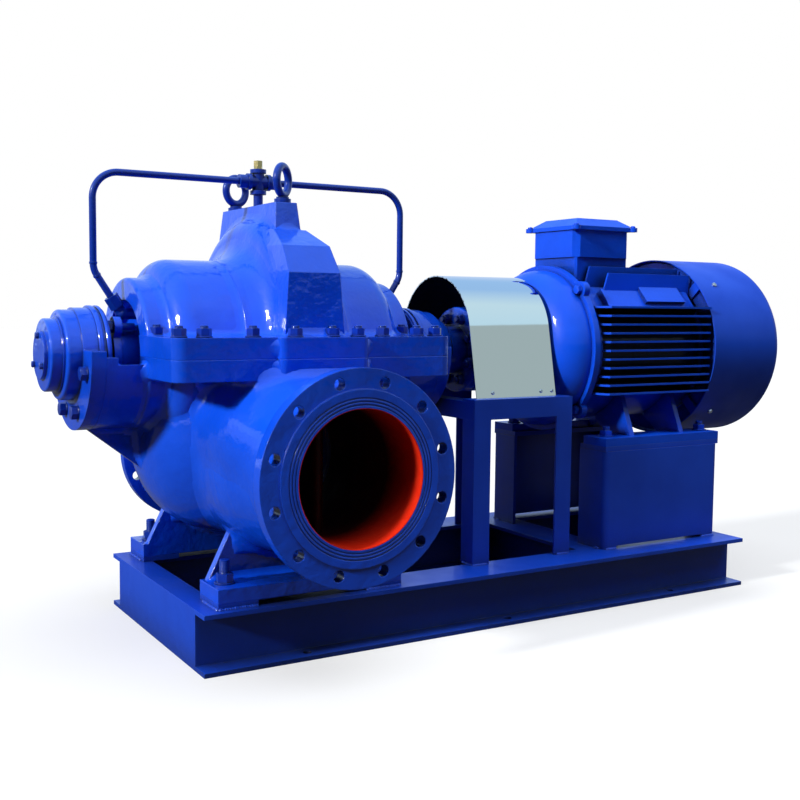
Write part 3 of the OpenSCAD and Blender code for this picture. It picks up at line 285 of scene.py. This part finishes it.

# %% [markdown]
# ## Inner side of the guard
# Only the outside of the sheet is polished. The inside is mill finish, dulled by oil mist, and its dark
# colour is a painted shade for the dim inside of the arch. The guard is an arch along the shaft, so a point
# is on the inside where its normal looks towards the arch's axis.

# %% Inner side of the guard
# Painted shade: the near-black colour that the inside of the guard takes.
INSIDE_SHADE = "#3a312e"
MILL_ROUGHNESS = 0.55
GUARD_AXIS = (0, 0, 618 * MM)
tree = stainless.node_tree
shader = next(n for n in tree.nodes if n.type == "BSDF_PRINCIPLED")
texture = next(n for n in tree.nodes if n.type == "TEX_COORD")
outward = add_node(tree, "ShaderNodeVectorMath", {"operation": "SUBTRACT", 1: GUARD_AXIS},
                   {0: texture.outputs["Object"]})
across = add_node(tree, "ShaderNodeVectorMath", {"operation": "MULTIPLY", 1: (0, 1, 1)},
                  {0: outward.outputs[0]})
facing = add_node(tree, "ShaderNodeVectorMath", {"operation": "DOT_PRODUCT"},
                  {0: across.outputs[0], 1: texture.outputs["Normal"]})
inner = add_node(tree, "ShaderNodeMath", {"operation": "LESS_THAN", 1: 0.0},
                 {0: facing.outputs["Value"]})
# The inside of the sheet takes the painted shade; the outside keeps the polished colour.
sheet = add_node(tree, "ShaderNodeMix",
                 {"data_type": "RGBA", 6: linear(POLISHED), 7: linear(INSIDE_SHADE)},
                 {0: inner.outputs[0]})
tree.links.new(sheet.outputs[2], shader.inputs["Base Color"])
rolled = shader.inputs["Roughness"].links[0].from_socket
matt = add_node(tree, "ShaderNodeMix", {3: MILL_ROUGHNESS}, {0: inner.outputs[0], 2: rolled})
tree.links.new(matt.outputs[0], shader.inputs["Roughness"])
print("guard axis at", round(GUARD_AXIS[2] / MM), "mm")

# %% [markdown]
# ## Finish for every CAD piece
# Rolled steel, motor castings and small pipework each have their own enamel. The pump's castings have the
# gloss one, red-lined on the lower casing and without the painted shade of corners on the upper. A few
# pieces stay bare. So the finishes go on by lists of names.

# %% Finish for every CAD piece
PLATE_NODES = ("rail_front rail_rear end_channel_left end_channel_right cross_beam pump_pads "
               "guard_stand_front guard_stand_rear guard_stand_tie pedestal_front pedestal_rear "
               "pedestal_plates").split()
MOTOR_NODES = ("motor_frame motor_feet motor_shield_drive motor_shield_fan motor_fan terminal_box "
               "terminal_lid terminal_plugs").split()
PIPE_NODES = ("flush_pipe_left flush_pipe_right flush_elbow_left flush_elbow_right cross_fitting "
              "eye_bolt_front eye_bolt_rear").split()
OTHER_FINISH = {"lower_casing": casing_enamel, "upper_casing": fillet_enamel, "fan_cover": cover_enamel,
                "pump_shaft": shaft_steel, "motor_shaft": shaft_steel, "coupling_guard": stainless,
                "vent_plug": brass}
for name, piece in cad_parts.items():
    finish = OTHER_FINISH.get(name, cast_enamel)
    if name in PLATE_NODES:
        finish = plate_enamel
    elif name in MOTOR_NODES:
        finish = motor_enamel
    elif name in PIPE_NODES:
        finish = nut_enamel
    piece.data.materials.clear()
    piece.data.materials.append(finish)
print("finished", len(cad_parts), "pieces")

# %% [markdown]
# ## Cast fillets
# A pattern maker rounds every inner corner of a casting, because sharp ones tear as the iron shrinks. The
# solids meet at plain creases. A copy of the casting is remeshed into small even faces and smoothed, which
# fills the creases and wears down the ridges. Only the faces that end up outside the solid are kept, and
# only those that can be seen from outside, which rays at five leans find. They are the fillets. Their edges
# are pushed just under the surface, so no seam shows. Where the suction neck runs into the casing it opens
# out like a trumpet, up to the underside of the split flange, so a trumpet joins the copy before it is
# remeshed.

# %% Working copies


def applied(mesh, kind, settings):
    """A new mesh: the given one with a modifier's result."""
    holder = bpy.data.objects.new("working_copy", mesh)
    bpy.context.scene.collection.objects.link(holder)
    modifier = holder.modifiers.new("step", kind)
    for key, value in settings.items():
        setattr(modifier, key, value)
    seen_by = bpy.context.evaluated_depsgraph_get()
    result = bpy.data.meshes.new_from_object(holder.evaluated_get(seen_by))
    bpy.data.objects.remove(holder)
    return result


# %% Trumpet of the suction neck
TRUMPET = [(-432, 157), (-405, 162), (-385, 166), (-365, 171), (-345, 178), (-325, 187), (-305, 197),
           (-285, 204), (-265, 209), (-240, 212), (-200, 214), (-150, 212), (-110, 206), (-110, 142),
           (-432, 142)]
TRUMPET_STEPS = 90
NECK_R = 157
SPLIT_UNDERSIDE = 546


def swell(turn):
    """How much of the trumpet there is at an angle: full at the top left, none at the right and below."""
    share = max(0, min(1, (turn - 20) / 50, (205 - turn) / 55))
    return share * share * (3 - 2 * share)


def ring_faces(count, width):
    """The faces that join a number of sections, each with the same number of points, into a closed ring."""
    faces = []
    for k in range(count):
        here, there = k * width, (k + 1) % count * width
        for i in range(width):
            j = (i + 1) % width
            faces.append((here + i, here + j, there + j, there + i))
    return faces


def trumpet():
    """A closed ring round the bore of the suction, in metres."""
    points = []
    for k in range(TRUMPET_STEPS):
        turn = 360 * k / TRUMPET_STEPS
        for y, wide in TRUMPET:
            r = min(wide, NECK_R + (wide - NECK_R) * swell(turn)) * MM
            x = BORE_X + r * math.cos(math.radians(turn))
            z = BORE_Z + r * math.sin(math.radians(turn))
            points.append((x, y * MM, min(z, SPLIT_UNDERSIDE * MM)))
    return points, ring_faces(TRUMPET_STEPS, len(TRUMPET))


print("trumpet of", TRUMPET_STEPS * len(TRUMPET), "points")

# %% Fillets from a smoothed copy
LEANS = [Vector(lean) for lean in ((0, 0, 0), (0, -3, 0), (0, 3, 0), (-3, 0, 0), (3, 0, 0))]
VOXEL = 5 * MM
LEAST_HEIGHT = 0.25 * MM
RAY_START = 4 * MM
RAY_LENGTH = 600 * MM
DIP = 0.6 * MM


def fillets(name, node, rounds, reach, extra=None):
    """Fills the outer creases of a casting, where the function reach says so for a point in metres."""
    surface = bmesh.new()
    surface.from_mesh(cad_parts[node].data)
    tree = BVHTree.FromBMesh(surface)
    if extra:
        added = [surface.verts.new(p) for p in extra[0]]
        rim = [surface.faces.new([added[i] for i in face]) for face in extra[1]]
        bmesh.ops.recalc_face_normals(surface, faces=rim)
    whole = bpy.data.meshes.new("whole_casting")
    surface.to_mesh(whole)
    surface.free()
    even = applied(whole, "REMESH", {"mode": "VOXEL", "voxel_size": VOXEL})
    smooth = applied(even, "SMOOTH", {"factor": 0.5, "iterations": rounds})
    skin = bmesh.new()
    skin.from_mesh(smooth)
    skin.normal_update()
    height = {}
    for point in skin.verts:
        near, normal, face, gap = tree.find_nearest(point.co)
        above = (point.co - near).dot(normal) > 0
        height[point] = gap if above else -gap
    hidden = []
    for face in skin.faces:
        middle = face.calc_center_median()
        if max(height[p] for p in face.verts) < LEAST_HEIGHT or not reach(middle):
            hidden.append(face)
            continue
        start = middle + face.normal * RAY_START
        ways = [(face.normal + lean).normalized() for lean in LEANS]
        if all(tree.ray_cast(start, way, RAY_LENGTH)[0] is not None for way in ways):
            hidden.append(face)
    bmesh.ops.delete(skin, geom=hidden, context="FACES")
    for point in skin.verts:
        if point.is_boundary:
            near, normal, face, gap = tree.find_nearest(point.co)
            point.co = near - normal * DIP
    mesh = bpy.data.meshes.new(name)
    skin.to_mesh(mesh)
    skin.free()
    mesh.polygons.foreach_set("use_smooth", [True] * len(mesh.polygons))
    mesh.materials.clear()
    mesh.materials.append(fillet_enamel)
    piece = bpy.data.objects.new(name, mesh)
    bpy.context.scene.collection.objects.link(piece)
    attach(piece, "pump_set")
    print(piece.name, len(mesh.polygons), "faces")


# %% Places of the fillets
SUCTION_BACK, DISCHARGE_BACK = -447 * MM, 412 * MM
SUCTION_WALL, DISCHARGE_WALL = 150 * MM, 118 * MM
NOZZLE_REACH = 215 * MM
ABOVE_FEET = 200 * MM


def off_bores(point):
    """Between the backs of the two nozzle flanges, and outside the walls of their bores."""
    if not SUCTION_BACK < point.y < DISCHARGE_BACK:
        return False
    in_suction = math.hypot(point.x - BORE_X, point.z - BORE_Z) < SUCTION_WALL and point.y < 0
    in_discharge = math.hypot(point.x - OUTLET_X, point.z - OUTLET_Z) < DISCHARGE_WALL and point.y > 0
    return not (in_suction or in_discharge)


def at_nozzles(point):
    """The necks of the two nozzles, between the bearing brackets and above the feet."""
    return abs(point.x - OUTLET_X) < NOZZLE_REACH and point.z > ABOVE_FEET and off_bores(point)


def everywhere(point):
    """The whole casting."""
    return True


fillets("nozzle_neck_fillets", "lower_casing", 150, at_nozzles, trumpet())
fillets("lower_casing_fillets", "lower_casing", 10, off_bores)
fillets("upper_casing_fillets", "upper_casing", 24, everywhere)

# %% [markdown]
# ## Shapes from rings
# Nuts, studs, screws and weld beads are all stacks of rings joined by faces. One function joins the rings,
# and another puts many such shapes into one mesh, each turned so that its own Z axis points out of the
# surface it sits on.

# %% Ring tools
STEPS = 36


def loft(rings):
    """Joins rings of points that have the same number of points, and closes both ends."""
    count = len(rings[0])
    points = [p for ring in rings for p in ring]
    faces = [tuple(reversed(range(count)))]
    for k in range(len(rings) - 1):
        low = k * count
        for i in range(count):
            j = (i + 1) % count
            faces.append((low + i, low + j, low + count + j, low + count + i))
    last = (len(rings) - 1) * count
    faces.append(tuple(range(last, last + count)))
    return points, faces


def round_ring(r, z):
    """A circle of points at a height."""
    turn = 2 * math.pi / STEPS
    return [(r * math.cos(i * turn), r * math.sin(i * turn), z) for i in range(STEPS)]


def hex_ring(across, z, limit=None):
    """A hexagon of points; with a limit, its corners drop by the 30 degree chamfer of a nut."""
    ring = []
    for i in range(STEPS):
        turn = 2 * math.pi * i / STEPS
        r = across / 2 / math.cos((turn + math.pi / 6) % (math.pi / 3) - math.pi / 6)
        drop = 0 if limit is None else max(0, r - limit) * 0.577
        ring.append((r * math.cos(turn), r * math.sin(turn), z - drop))
    return ring


def aim(place_mm, direction, spin=0.0):
    """The matrix that stands a shape on a place, with its Z axis along a direction."""
    turn = Vector(direction).to_track_quat("Z", "Y").to_matrix().to_4x4()
    return Matrix.Translation(Vector(place_mm)) @ turn @ Matrix.Rotation(spin, 4, "Z")


def add_piece(name, shapes, finish, body="pump_set"):
    """One mesh from shapes in millimetres, each with its matrix; it rides on a body of the frame."""
    points, faces = [], []
    for (shape_points, shape_faces), matrix in shapes:
        start = len(points)
        points += [matrix @ Vector(p) * MM for p in shape_points]
        faces += [tuple(start + i for i in face) for face in shape_faces]
    mesh = bpy.data.meshes.new(name)
    mesh.from_pydata(points, [], faces)
    mesh.polygons.foreach_set("use_smooth", [True] * len(mesh.polygons))
    mesh.set_sharp_from_angle(angle=math.radians(32))
    mesh.materials.append(finish)
    piece = bpy.data.objects.new(name, mesh)
    bpy.context.scene.collection.objects.link(piece)
    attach(piece, body)
    print(name, len(shapes), "shapes,", len(faces), "faces")
    return piece


# %% [markdown]
# ## Nuts, studs and bolt heads
# A nut is a hexagon whose corners are cut by a 30 degree chamfer, so each flat ends in a curved edge. The
# stud stands out of it with a few turns of thread, drawn as ridges a pitch apart, and its end is bevelled.
# A washer lies under it. A bolt head is the same without the stud.

# %% Nut and screw shapes


def nut(across, height, stud_d=0.0, stud=0.0, washer=0.0, washer_t=2.5):
    """A nut or a bolt head, with an optional washer under it and stud end out of it."""
    rings = []
    base = 0.0
    if washer:
        rings += [round_ring(washer - 0.6, 0), round_ring(washer, 0.6), round_ring(washer, washer_t - 0.5),
                  round_ring(washer - 0.5, washer_t)]
        base = washer_t
    limit = across / 2 * 1.02
    rings += [hex_ring(across, base), hex_ring(across, base + height, limit),
              round_ring(across / 2 * 0.97, base + height)]
    top = base + height
    if stud:
        r = stud_d / 2
        pitch = max(1.5, stud_d / 8)
        rings += [round_ring(r + 1.2, top), round_ring(r, top - 0.8)]
        for k in range(int((stud - 2) / pitch)):
            crest = top + (k + 0.4) * pitch
            rings += [round_ring(r, crest), round_ring(r - 0.3 * pitch, crest + 0.5 * pitch)]
        rings += [round_ring(r, top + stud - 1.6), round_ring(r - 1.6, top + stud)]
    else:
        rings += [round_ring(across * 0.3, top + 0.4)]
    return loft(rings)


def pan_screw(head_d, height):
    """A low domed screw head with a round recess."""
    r = head_d / 2
    rings = [round_ring(r, 0), round_ring(r, height * 0.35), round_ring(r * 0.9, height * 0.75),
             round_ring(r * 0.62, height), round_ring(r * 0.4, height), round_ring(r * 0.3, height * 0.45)]
    return loft(rings)


# %% Bolts of the split flange
SHAFT_Z = 588
PUMP_X = -478
SPLIT_TOP = SHAFT_Z + 40
FRONT_ROW = [(-754, -273), (-706, -273), (-610, -273), (-530, -287), (-444, -273), (-387, -273), (-332, -273),
             (-252, -273), (-208, -273)]
places = FRONT_ROW + [(PUMP_X - 272, -140), (PUMP_X + 272, -140)]
places += [(x, -y) for x, y in places]
split_bolts = []
for k, (x, y) in enumerate(places):
    spin = math.radians(17 * k % 60)
    split_bolts.append((nut(24, 14, 16, 5, 15.5), aim((x, y, SPLIT_TOP), (0, 0, 1), spin)))
add_piece("split_flange_bolts", split_bolts, nut_enamel)

# %% Studs of the feet and bolts of the motor
SOLE_TOP = 157
foot_studs = []
for x in (-168, 168):
    for y in (-219, 219):
        place = aim((PUMP_X + x, y, SOLE_TOP), (0, 0, 1), 0.3 + x)
        foot_studs.append((nut(30, 17, 20, 26, 20, 3), place))
add_piece("pump_foot_studs", foot_studs, nut_enamel)

MOTOR_X, MOTOR_FOOT_TOP = 505, 382
SHIELD_FACE_X, SHIELD_BOLT_R = 286.5, 202
BOX_X, LID_TOP = 411.5, 888
motor_bolts = []
for x in (-155.5, 155.5):
    for y in (-178, 178):
        place = aim((MOTOR_X + x, y, MOTOR_FOOT_TOP), (0, 0, 1), 0.2)
        motor_bolts.append((nut(27, 12, 18, 9, 17.5, 3), place))
for k in range(4):
    turn = math.radians(45 + 90 * k)
    spot = (SHIELD_FACE_X, SHIELD_BOLT_R * math.cos(turn), SHAFT_Z + SHIELD_BOLT_R * math.sin(turn))
    motor_bolts.append((nut(19, 9, washer=11, washer_t=2), aim(spot, (-1, 0, 0), turn)))
for x in (-92, 92):
    for y in (-88, 88):
        motor_bolts.append((pan_screw(13, 5), aim((BOX_X + x, y, LID_TOP), (0, 0, 1))))
add_piece("motor_bolts", motor_bolts, motor_enamel)

# %% Bolts of the bearings, glands and coupling
BRACKET_FACE, BRACKET_BOLT_R = 398, 118
GLAND_FACE, STUD_FOOT = 330, 286
GLAND_STUD = (46.3, -55.2)
COVER_FACE = {-1: 460, 1: 453}
COVER_SCREW_R = {-1: 38, 1: 58}
COVER_SCREWS = {-1: (90, 210, 330), 1: (45, 135, 225, 315)}
bearing_bolts = []
for side in (-1, 1):
    out = (side, 0, 0)
    for turn in (15, 68, 112, 165):
        y = -BRACKET_BOLT_R * math.cos(math.radians(turn))
        z = SHAFT_Z - BRACKET_BOLT_R * math.sin(math.radians(turn))
        head = nut(24, 12, washer=14, washer_t=2)
        bearing_bolts.append((head, aim((PUMP_X + side * BRACKET_FACE, y, z), out, 0.4)))
    for turn in COVER_SCREWS[side]:
        y = -COVER_SCREW_R[side] * math.cos(math.radians(turn))
        z = SHAFT_Z + COVER_SCREW_R[side] * math.sin(math.radians(turn))
        bearing_bolts.append((nut(11, 6), aim((PUMP_X + side * COVER_FACE[side], y, z), out, 0.2)))
    for way in (-1, 1):
        y = GLAND_STUD[0] * way
        z = SHAFT_Z + GLAND_STUD[1] * way
        end = nut(21, 11, 14, 16, 12.5, 2)
        bearing_bolts.append((end, aim((PUMP_X + side * GLAND_FACE, y, z), out, 0.1)))
        stem = loft([round_ring(7, 0), round_ring(7, 30)])
        bearing_bolts.append((stem, aim((PUMP_X + side * STUD_FOOT, y, z), out)))
add_piece("bearing_and_gland_bolts", bearing_bolts, nut_enamel)

PINS, PIN_R, COUPLING_FACE_X = 8, 76, 29.5
pin_nuts = []
for k in range(PINS):
    turn = math.radians((k + 0.5) * 360 / PINS)
    spot = (COUPLING_FACE_X, -PIN_R * math.sin(turn), SHAFT_Z + PIN_R * math.cos(turn))
    pin_nuts.append((nut(22, 11, 15, 6, 13, 2), aim(spot, (-1, 0, 0), turn)))
add_piece("coupling_pin_nuts", pin_nuts, nut_enamel, "rotor")

# %% Bright screws of the guard and fan cover
COVER_X, COVER_R = 717, 227.7
GUARD_LEAN = math.radians(11)
GUARD_SCREW_Y, GUARD_SCREW_Z = 168.4, 496
bright = []
for k in range(4):
    turn = math.radians(45 + 90 * k)
    out = (0, math.cos(turn), math.sin(turn))
    spot = (COVER_X, COVER_R * out[1], SHAFT_Z + COVER_R * out[2])
    bright.append((pan_screw(13, 5), aim(spot, out)))
for side in (-1, 1):
    out = (0, side * math.cos(GUARD_LEAN), math.sin(GUARD_LEAN))
    for x in (19, 156, 188):
        bright.append((pan_screw(8, 3), aim((x, side * GUARD_SCREW_Y, GUARD_SCREW_Z), out)))
add_piece("bright_screws", bright, zinc)

# %% [markdown]
# ## Collars of the bearing housings and the air guide of the fan
# Each bearing housing ends in two turned lips that hold the seal. The fan cover has a sheet ring inside its
# open end, which turns the air towards the fins. Both are turned profiles: rings of the same centre, joined
# round the shaft.

# %% Collars and air guide
TURNED_STEPS = 96


def turned(profile):
    """A closed ring round the X axis from points of (x, r), in millimetres."""
    points = []
    for k in range(TURNED_STEPS):
        turn = 2 * math.pi * k / TURNED_STEPS
        points += [(x, r * math.cos(turn), SHAFT_Z + r * math.sin(turn)) for x, r in profile]
    return points, ring_faces(TURNED_STEPS, len(profile))


COLLAR_R = 93
collars = []
for side in (-1, 1):
    for inner, outer in ((346, 353), (358, 368)):
        low, high = COLLAR_R - 8, COLLAR_R + 3.5
        lip = [(inner, low), (inner, high - 1.5), (inner + 1.5, high), (outer - 1.5, high),
               (outer, high - 1.5), (outer, low)]
        lip = [(PUMP_X + side * x, r) for x, r in lip]
        collars.append((turned(lip if side == 1 else lip[::-1]), Matrix()))
add_piece("bearing_collars", collars, cast_enamel)
AIR_GUIDE = [(668, 221), (666, 206), (664, 186), (667, 186), (669, 206), (671, 221)]
add_piece("fan_air_guide", [(turned(AIR_GUIDE), Matrix())], motor_enamel)

# %% [markdown]
# ## Weld beads
# The pads, the stand's legs and the pedestals are welded to the beams, and so are the corners of the frame.
# A weld bead is a round ridge with ripples where the pool froze, so its rings swell and shrink a little along
# the run.

# %% Weld beads
BEAD_SIDES = 10


def bead(start, end, r=4.0):
    """A rippled weld bead from one point to another."""
    start, end = Vector(start), Vector(end)
    length = (end - start).length
    steps = max(4, int(length / 2.0))
    rings = []
    for k in range(steps + 1):
        along = k / steps * length
        ripple = r * (1 + 0.13 * math.sin(along * 1.9) + 0.08 * math.sin(along * 0.37 + start.x))
        if k in (0, steps):
            ripple *= 0.45
        ring = []
        for i in range(BEAD_SIDES):
            turn = 2 * math.pi * i / BEAD_SIDES
            ring.append((ripple * math.cos(turn), ripple * math.sin(turn), along))
        rings.append(ring)
    return loft(rings), aim(start, end - start)


DECK = 118
beads = []
for x in (-159, 159):
    for y in (-1, 1):
        left, right = PUMP_X + x - 41, PUMP_X + x + 41
        beads.append(bead((left, y * 266, DECK), (right, y * 266, DECK)))
        outer = left if x < 0 else right
        beads.append(bead((outer, y * 190, DECK), (outer, y * 264, DECK)))
for y in (-1, 1):
    for x, way in ((-54, 1), (222, -1)):
        beads.append(bead((x, y * 202, DECK), (x + way * 40, y * 202, DECK), 3.5))
        beads.append(bead((x, y * 200, DECK), (x, y * 164, DECK), 3.5))
    beads.append(bead((318, y * 220, DECK), (352, y * 220, DECK)))
    beads.append(bead((636, y * 220, DECK), (680, y * 220, DECK)))
    beads.append(bead((313, y * 204, DECK), (313, y * 186, DECK)))
    beads.append(bead((685, y * 204, DECK), (685, y * 186, DECK)))
    for x in (-706, 706):
        beads.append(bead((x, y * 182, DECK - 3), (x, y * 182, 12), 3.0))
add_piece("weld_beads", beads, plate_enamel)

# %% [markdown]
# ## Studio
# The photograph is cut out on white. The floor is pale grey concrete that takes the shadow, and the camera
# sees it lifted to white. The camera sees a white world too. Reflections see a pale blue sky behind the pump,
# and on the camera's side a pale sky over a grey yard, which is what the polished guard shows. A soft sun
# stands on the left, and a broad one overhead stands for the light of the sky.

# %% World
world = bpy.data.worlds.new("studio")
bpy.context.scene.world = world
world.use_nodes = True
tree = world.node_tree
tree.nodes.clear()
path = add_node(tree, "ShaderNodeLightPath")
mirrored = add_node(tree, "ShaderNodeMath", {"operation": "MAXIMUM"},
                    {0: path.outputs["Is Glossy Ray"], 1: path.outputs["Is Transmission Ray"]})
seen = add_node(tree, "ShaderNodeMath", {"operation": "MAXIMUM"},
                {0: path.outputs["Is Camera Ray"], 1: mirrored.outputs[0]})
way = add_node(tree, "ShaderNodeTexCoord").outputs["Generated"]
height = add_node(tree, "ShaderNodeSeparateXYZ", links={0: way})
yard = add_node(tree, "ShaderNodeValToRGB", links={0: height.outputs[2]})
SKY_BANDS = [(0.06, "#14171b"), (0.16, "#aebfc2"), (0.325, "#aebfc2"), (0.345, "#cdeeff"),
             (0.85, "#d6f2ff"), (0.99, "#a6d0ff")]
FAR_LOW, FAR_HIGH = "#c4dcff", "#a6d0ff"
CAMERA_WAY = (0.5, 0.866, 0)
ramp = yard.color_ramp.elements
while len(ramp) < len(SKY_BANDS):
    ramp.new(0.5)
for band, (position, hex_colour) in zip(ramp, SKY_BANDS):
    band.position = position
    band.color = linear(hex_colour)
behind = add_node(tree, "ShaderNodeVectorMath", {"operation": "DOT_PRODUCT", 1: CAMERA_WAY}, {0: way})
fade = add_node(tree, "ShaderNodeMapRange", {"From Min": 0.0, "From Max": 0.45}, {0: behind.outputs["Value"]})
high = add_node(tree, "ShaderNodeMapRange", {"From Min": 0.3, "From Max": 0.6}, {0: height.outputs[2]})
far = add_node(tree, "ShaderNodeMix",
               {"data_type": "RGBA", 6: linear(FAR_LOW), 7: linear(FAR_HIGH)},
               {0: high.outputs[0]})
reflected = add_node(tree, "ShaderNodeMix", {"data_type": "RGBA"},
                     {0: fade.outputs[0], 6: yard.outputs[0], 7: far.outputs[2]})
colour = add_node(tree, "ShaderNodeMix", {"data_type": "RGBA", 7: linear("#ffffff")},
                  {0: path.outputs["Is Camera Ray"], 6: reflected.outputs[2]})
ambient = add_node(tree, "ShaderNodeBackground", {"Color": linear("#e6eeff"), "Strength": 0.035})
backdrop = add_node(tree, "ShaderNodeBackground", {"Strength": 1.0}, {"Color": colour.outputs[2]})
mixed = add_node(tree, "ShaderNodeMixShader", links={0: seen.outputs[0], 1: ambient.outputs[0],
                                                     2: backdrop.outputs[0]})
add_node(tree, "ShaderNodeOutputWorld", links={"Surface": mixed.outputs[0]})
print("world", world.name)

# %% Floor
floor_mesh = bpy.data.meshes.new("floor")
half = 30.0
floor_mesh.from_pydata([(-half, -half, 0), (half, -half, 0), (half, half, 0), (-half, half, 0)], [],
                       [(0, 1, 2, 3)])
floor = bpy.data.objects.new("floor", floor_mesh)
bpy.context.scene.collection.objects.link(floor)
floor_paint, tree, shader, coords = start_material("pale_concrete_floor")
grit = add_node(tree, "ShaderNodeTexNoise", {"Scale": per_metre(300), "Detail": 3.0}, {"Vector": coords})
pale = add_node(tree, "ShaderNodeMix", {"data_type": "RGBA", 6: linear("#b4b5b4"), 7: linear("#babab8")},
                {0: grit.outputs[0]})
tree.links.new(pale.outputs[2], shader.inputs["Base Color"])
shader.inputs["Roughness"].default_value = 0.8
shader.inputs["Specular IOR Level"].default_value = 0.1
glow = add_node(tree, "ShaderNodeEmission", {"Color": linear("#ffffff"), "Strength": 0.52})
lifted = add_node(tree, "ShaderNodeAddShader", links={0: shader.outputs[0], 1: glow.outputs[0]})
yard_floor = add_node(tree, "ShaderNodeBsdfDiffuse", {"Color": linear("#35383a")})
path = add_node(tree, "ShaderNodeLightPath")
mirrored = add_node(tree, "ShaderNodeMath", {"operation": "MAXIMUM"},
                    {0: path.outputs["Is Glossy Ray"], 1: path.outputs["Is Transmission Ray"]})
some = add_node(tree, "ShaderNodeMath", {"operation": "MULTIPLY", 1: 0.08}, {0: mirrored.outputs[0]})
share = add_node(tree, "ShaderNodeMath", {"operation": "MAXIMUM"},
                 {0: path.outputs["Is Camera Ray"], 1: some.outputs[0]})
both = add_node(tree, "ShaderNodeMixShader", links={0: share.outputs[0], 1: yard_floor.outputs[0],
                                                    2: lifted.outputs[0]})
surface = next(n for n in tree.nodes if n.type == "OUTPUT_MATERIAL")
tree.links.new(both.outputs[0], surface.inputs["Surface"])
floor_mesh.materials.append(floor_paint)
print("floor", 2 * half, "m wide")

# %% Lamps


def soft_sun(name, towards, strength, angle_deg, hex_colour):
    """A sun that shines from a direction, with a soft edge of the given angle."""
    data = bpy.data.lights.new(name, "SUN")
    data.energy = strength
    data.angle = math.radians(angle_deg)
    data.color = linear(hex_colour)[:3]
    lamp = bpy.data.objects.new(name, data)
    lamp.rotation_euler = (-Vector(towards)).to_track_quat("-Z", "Y").to_euler()
    bpy.context.scene.collection.objects.link(lamp)
    return lamp


soft_sun("key_left", (-0.90, -0.08, 0.42), 3.3, 6, "#ffffff")
sky = soft_sun("sky_above", (0.1, -0.15, 0.98), 2.5, 60, "#f2f6ff")
sky.visible_glossy = False
bpy.context.scene.view_settings.view_transform = "Standard"
print("lamps set")
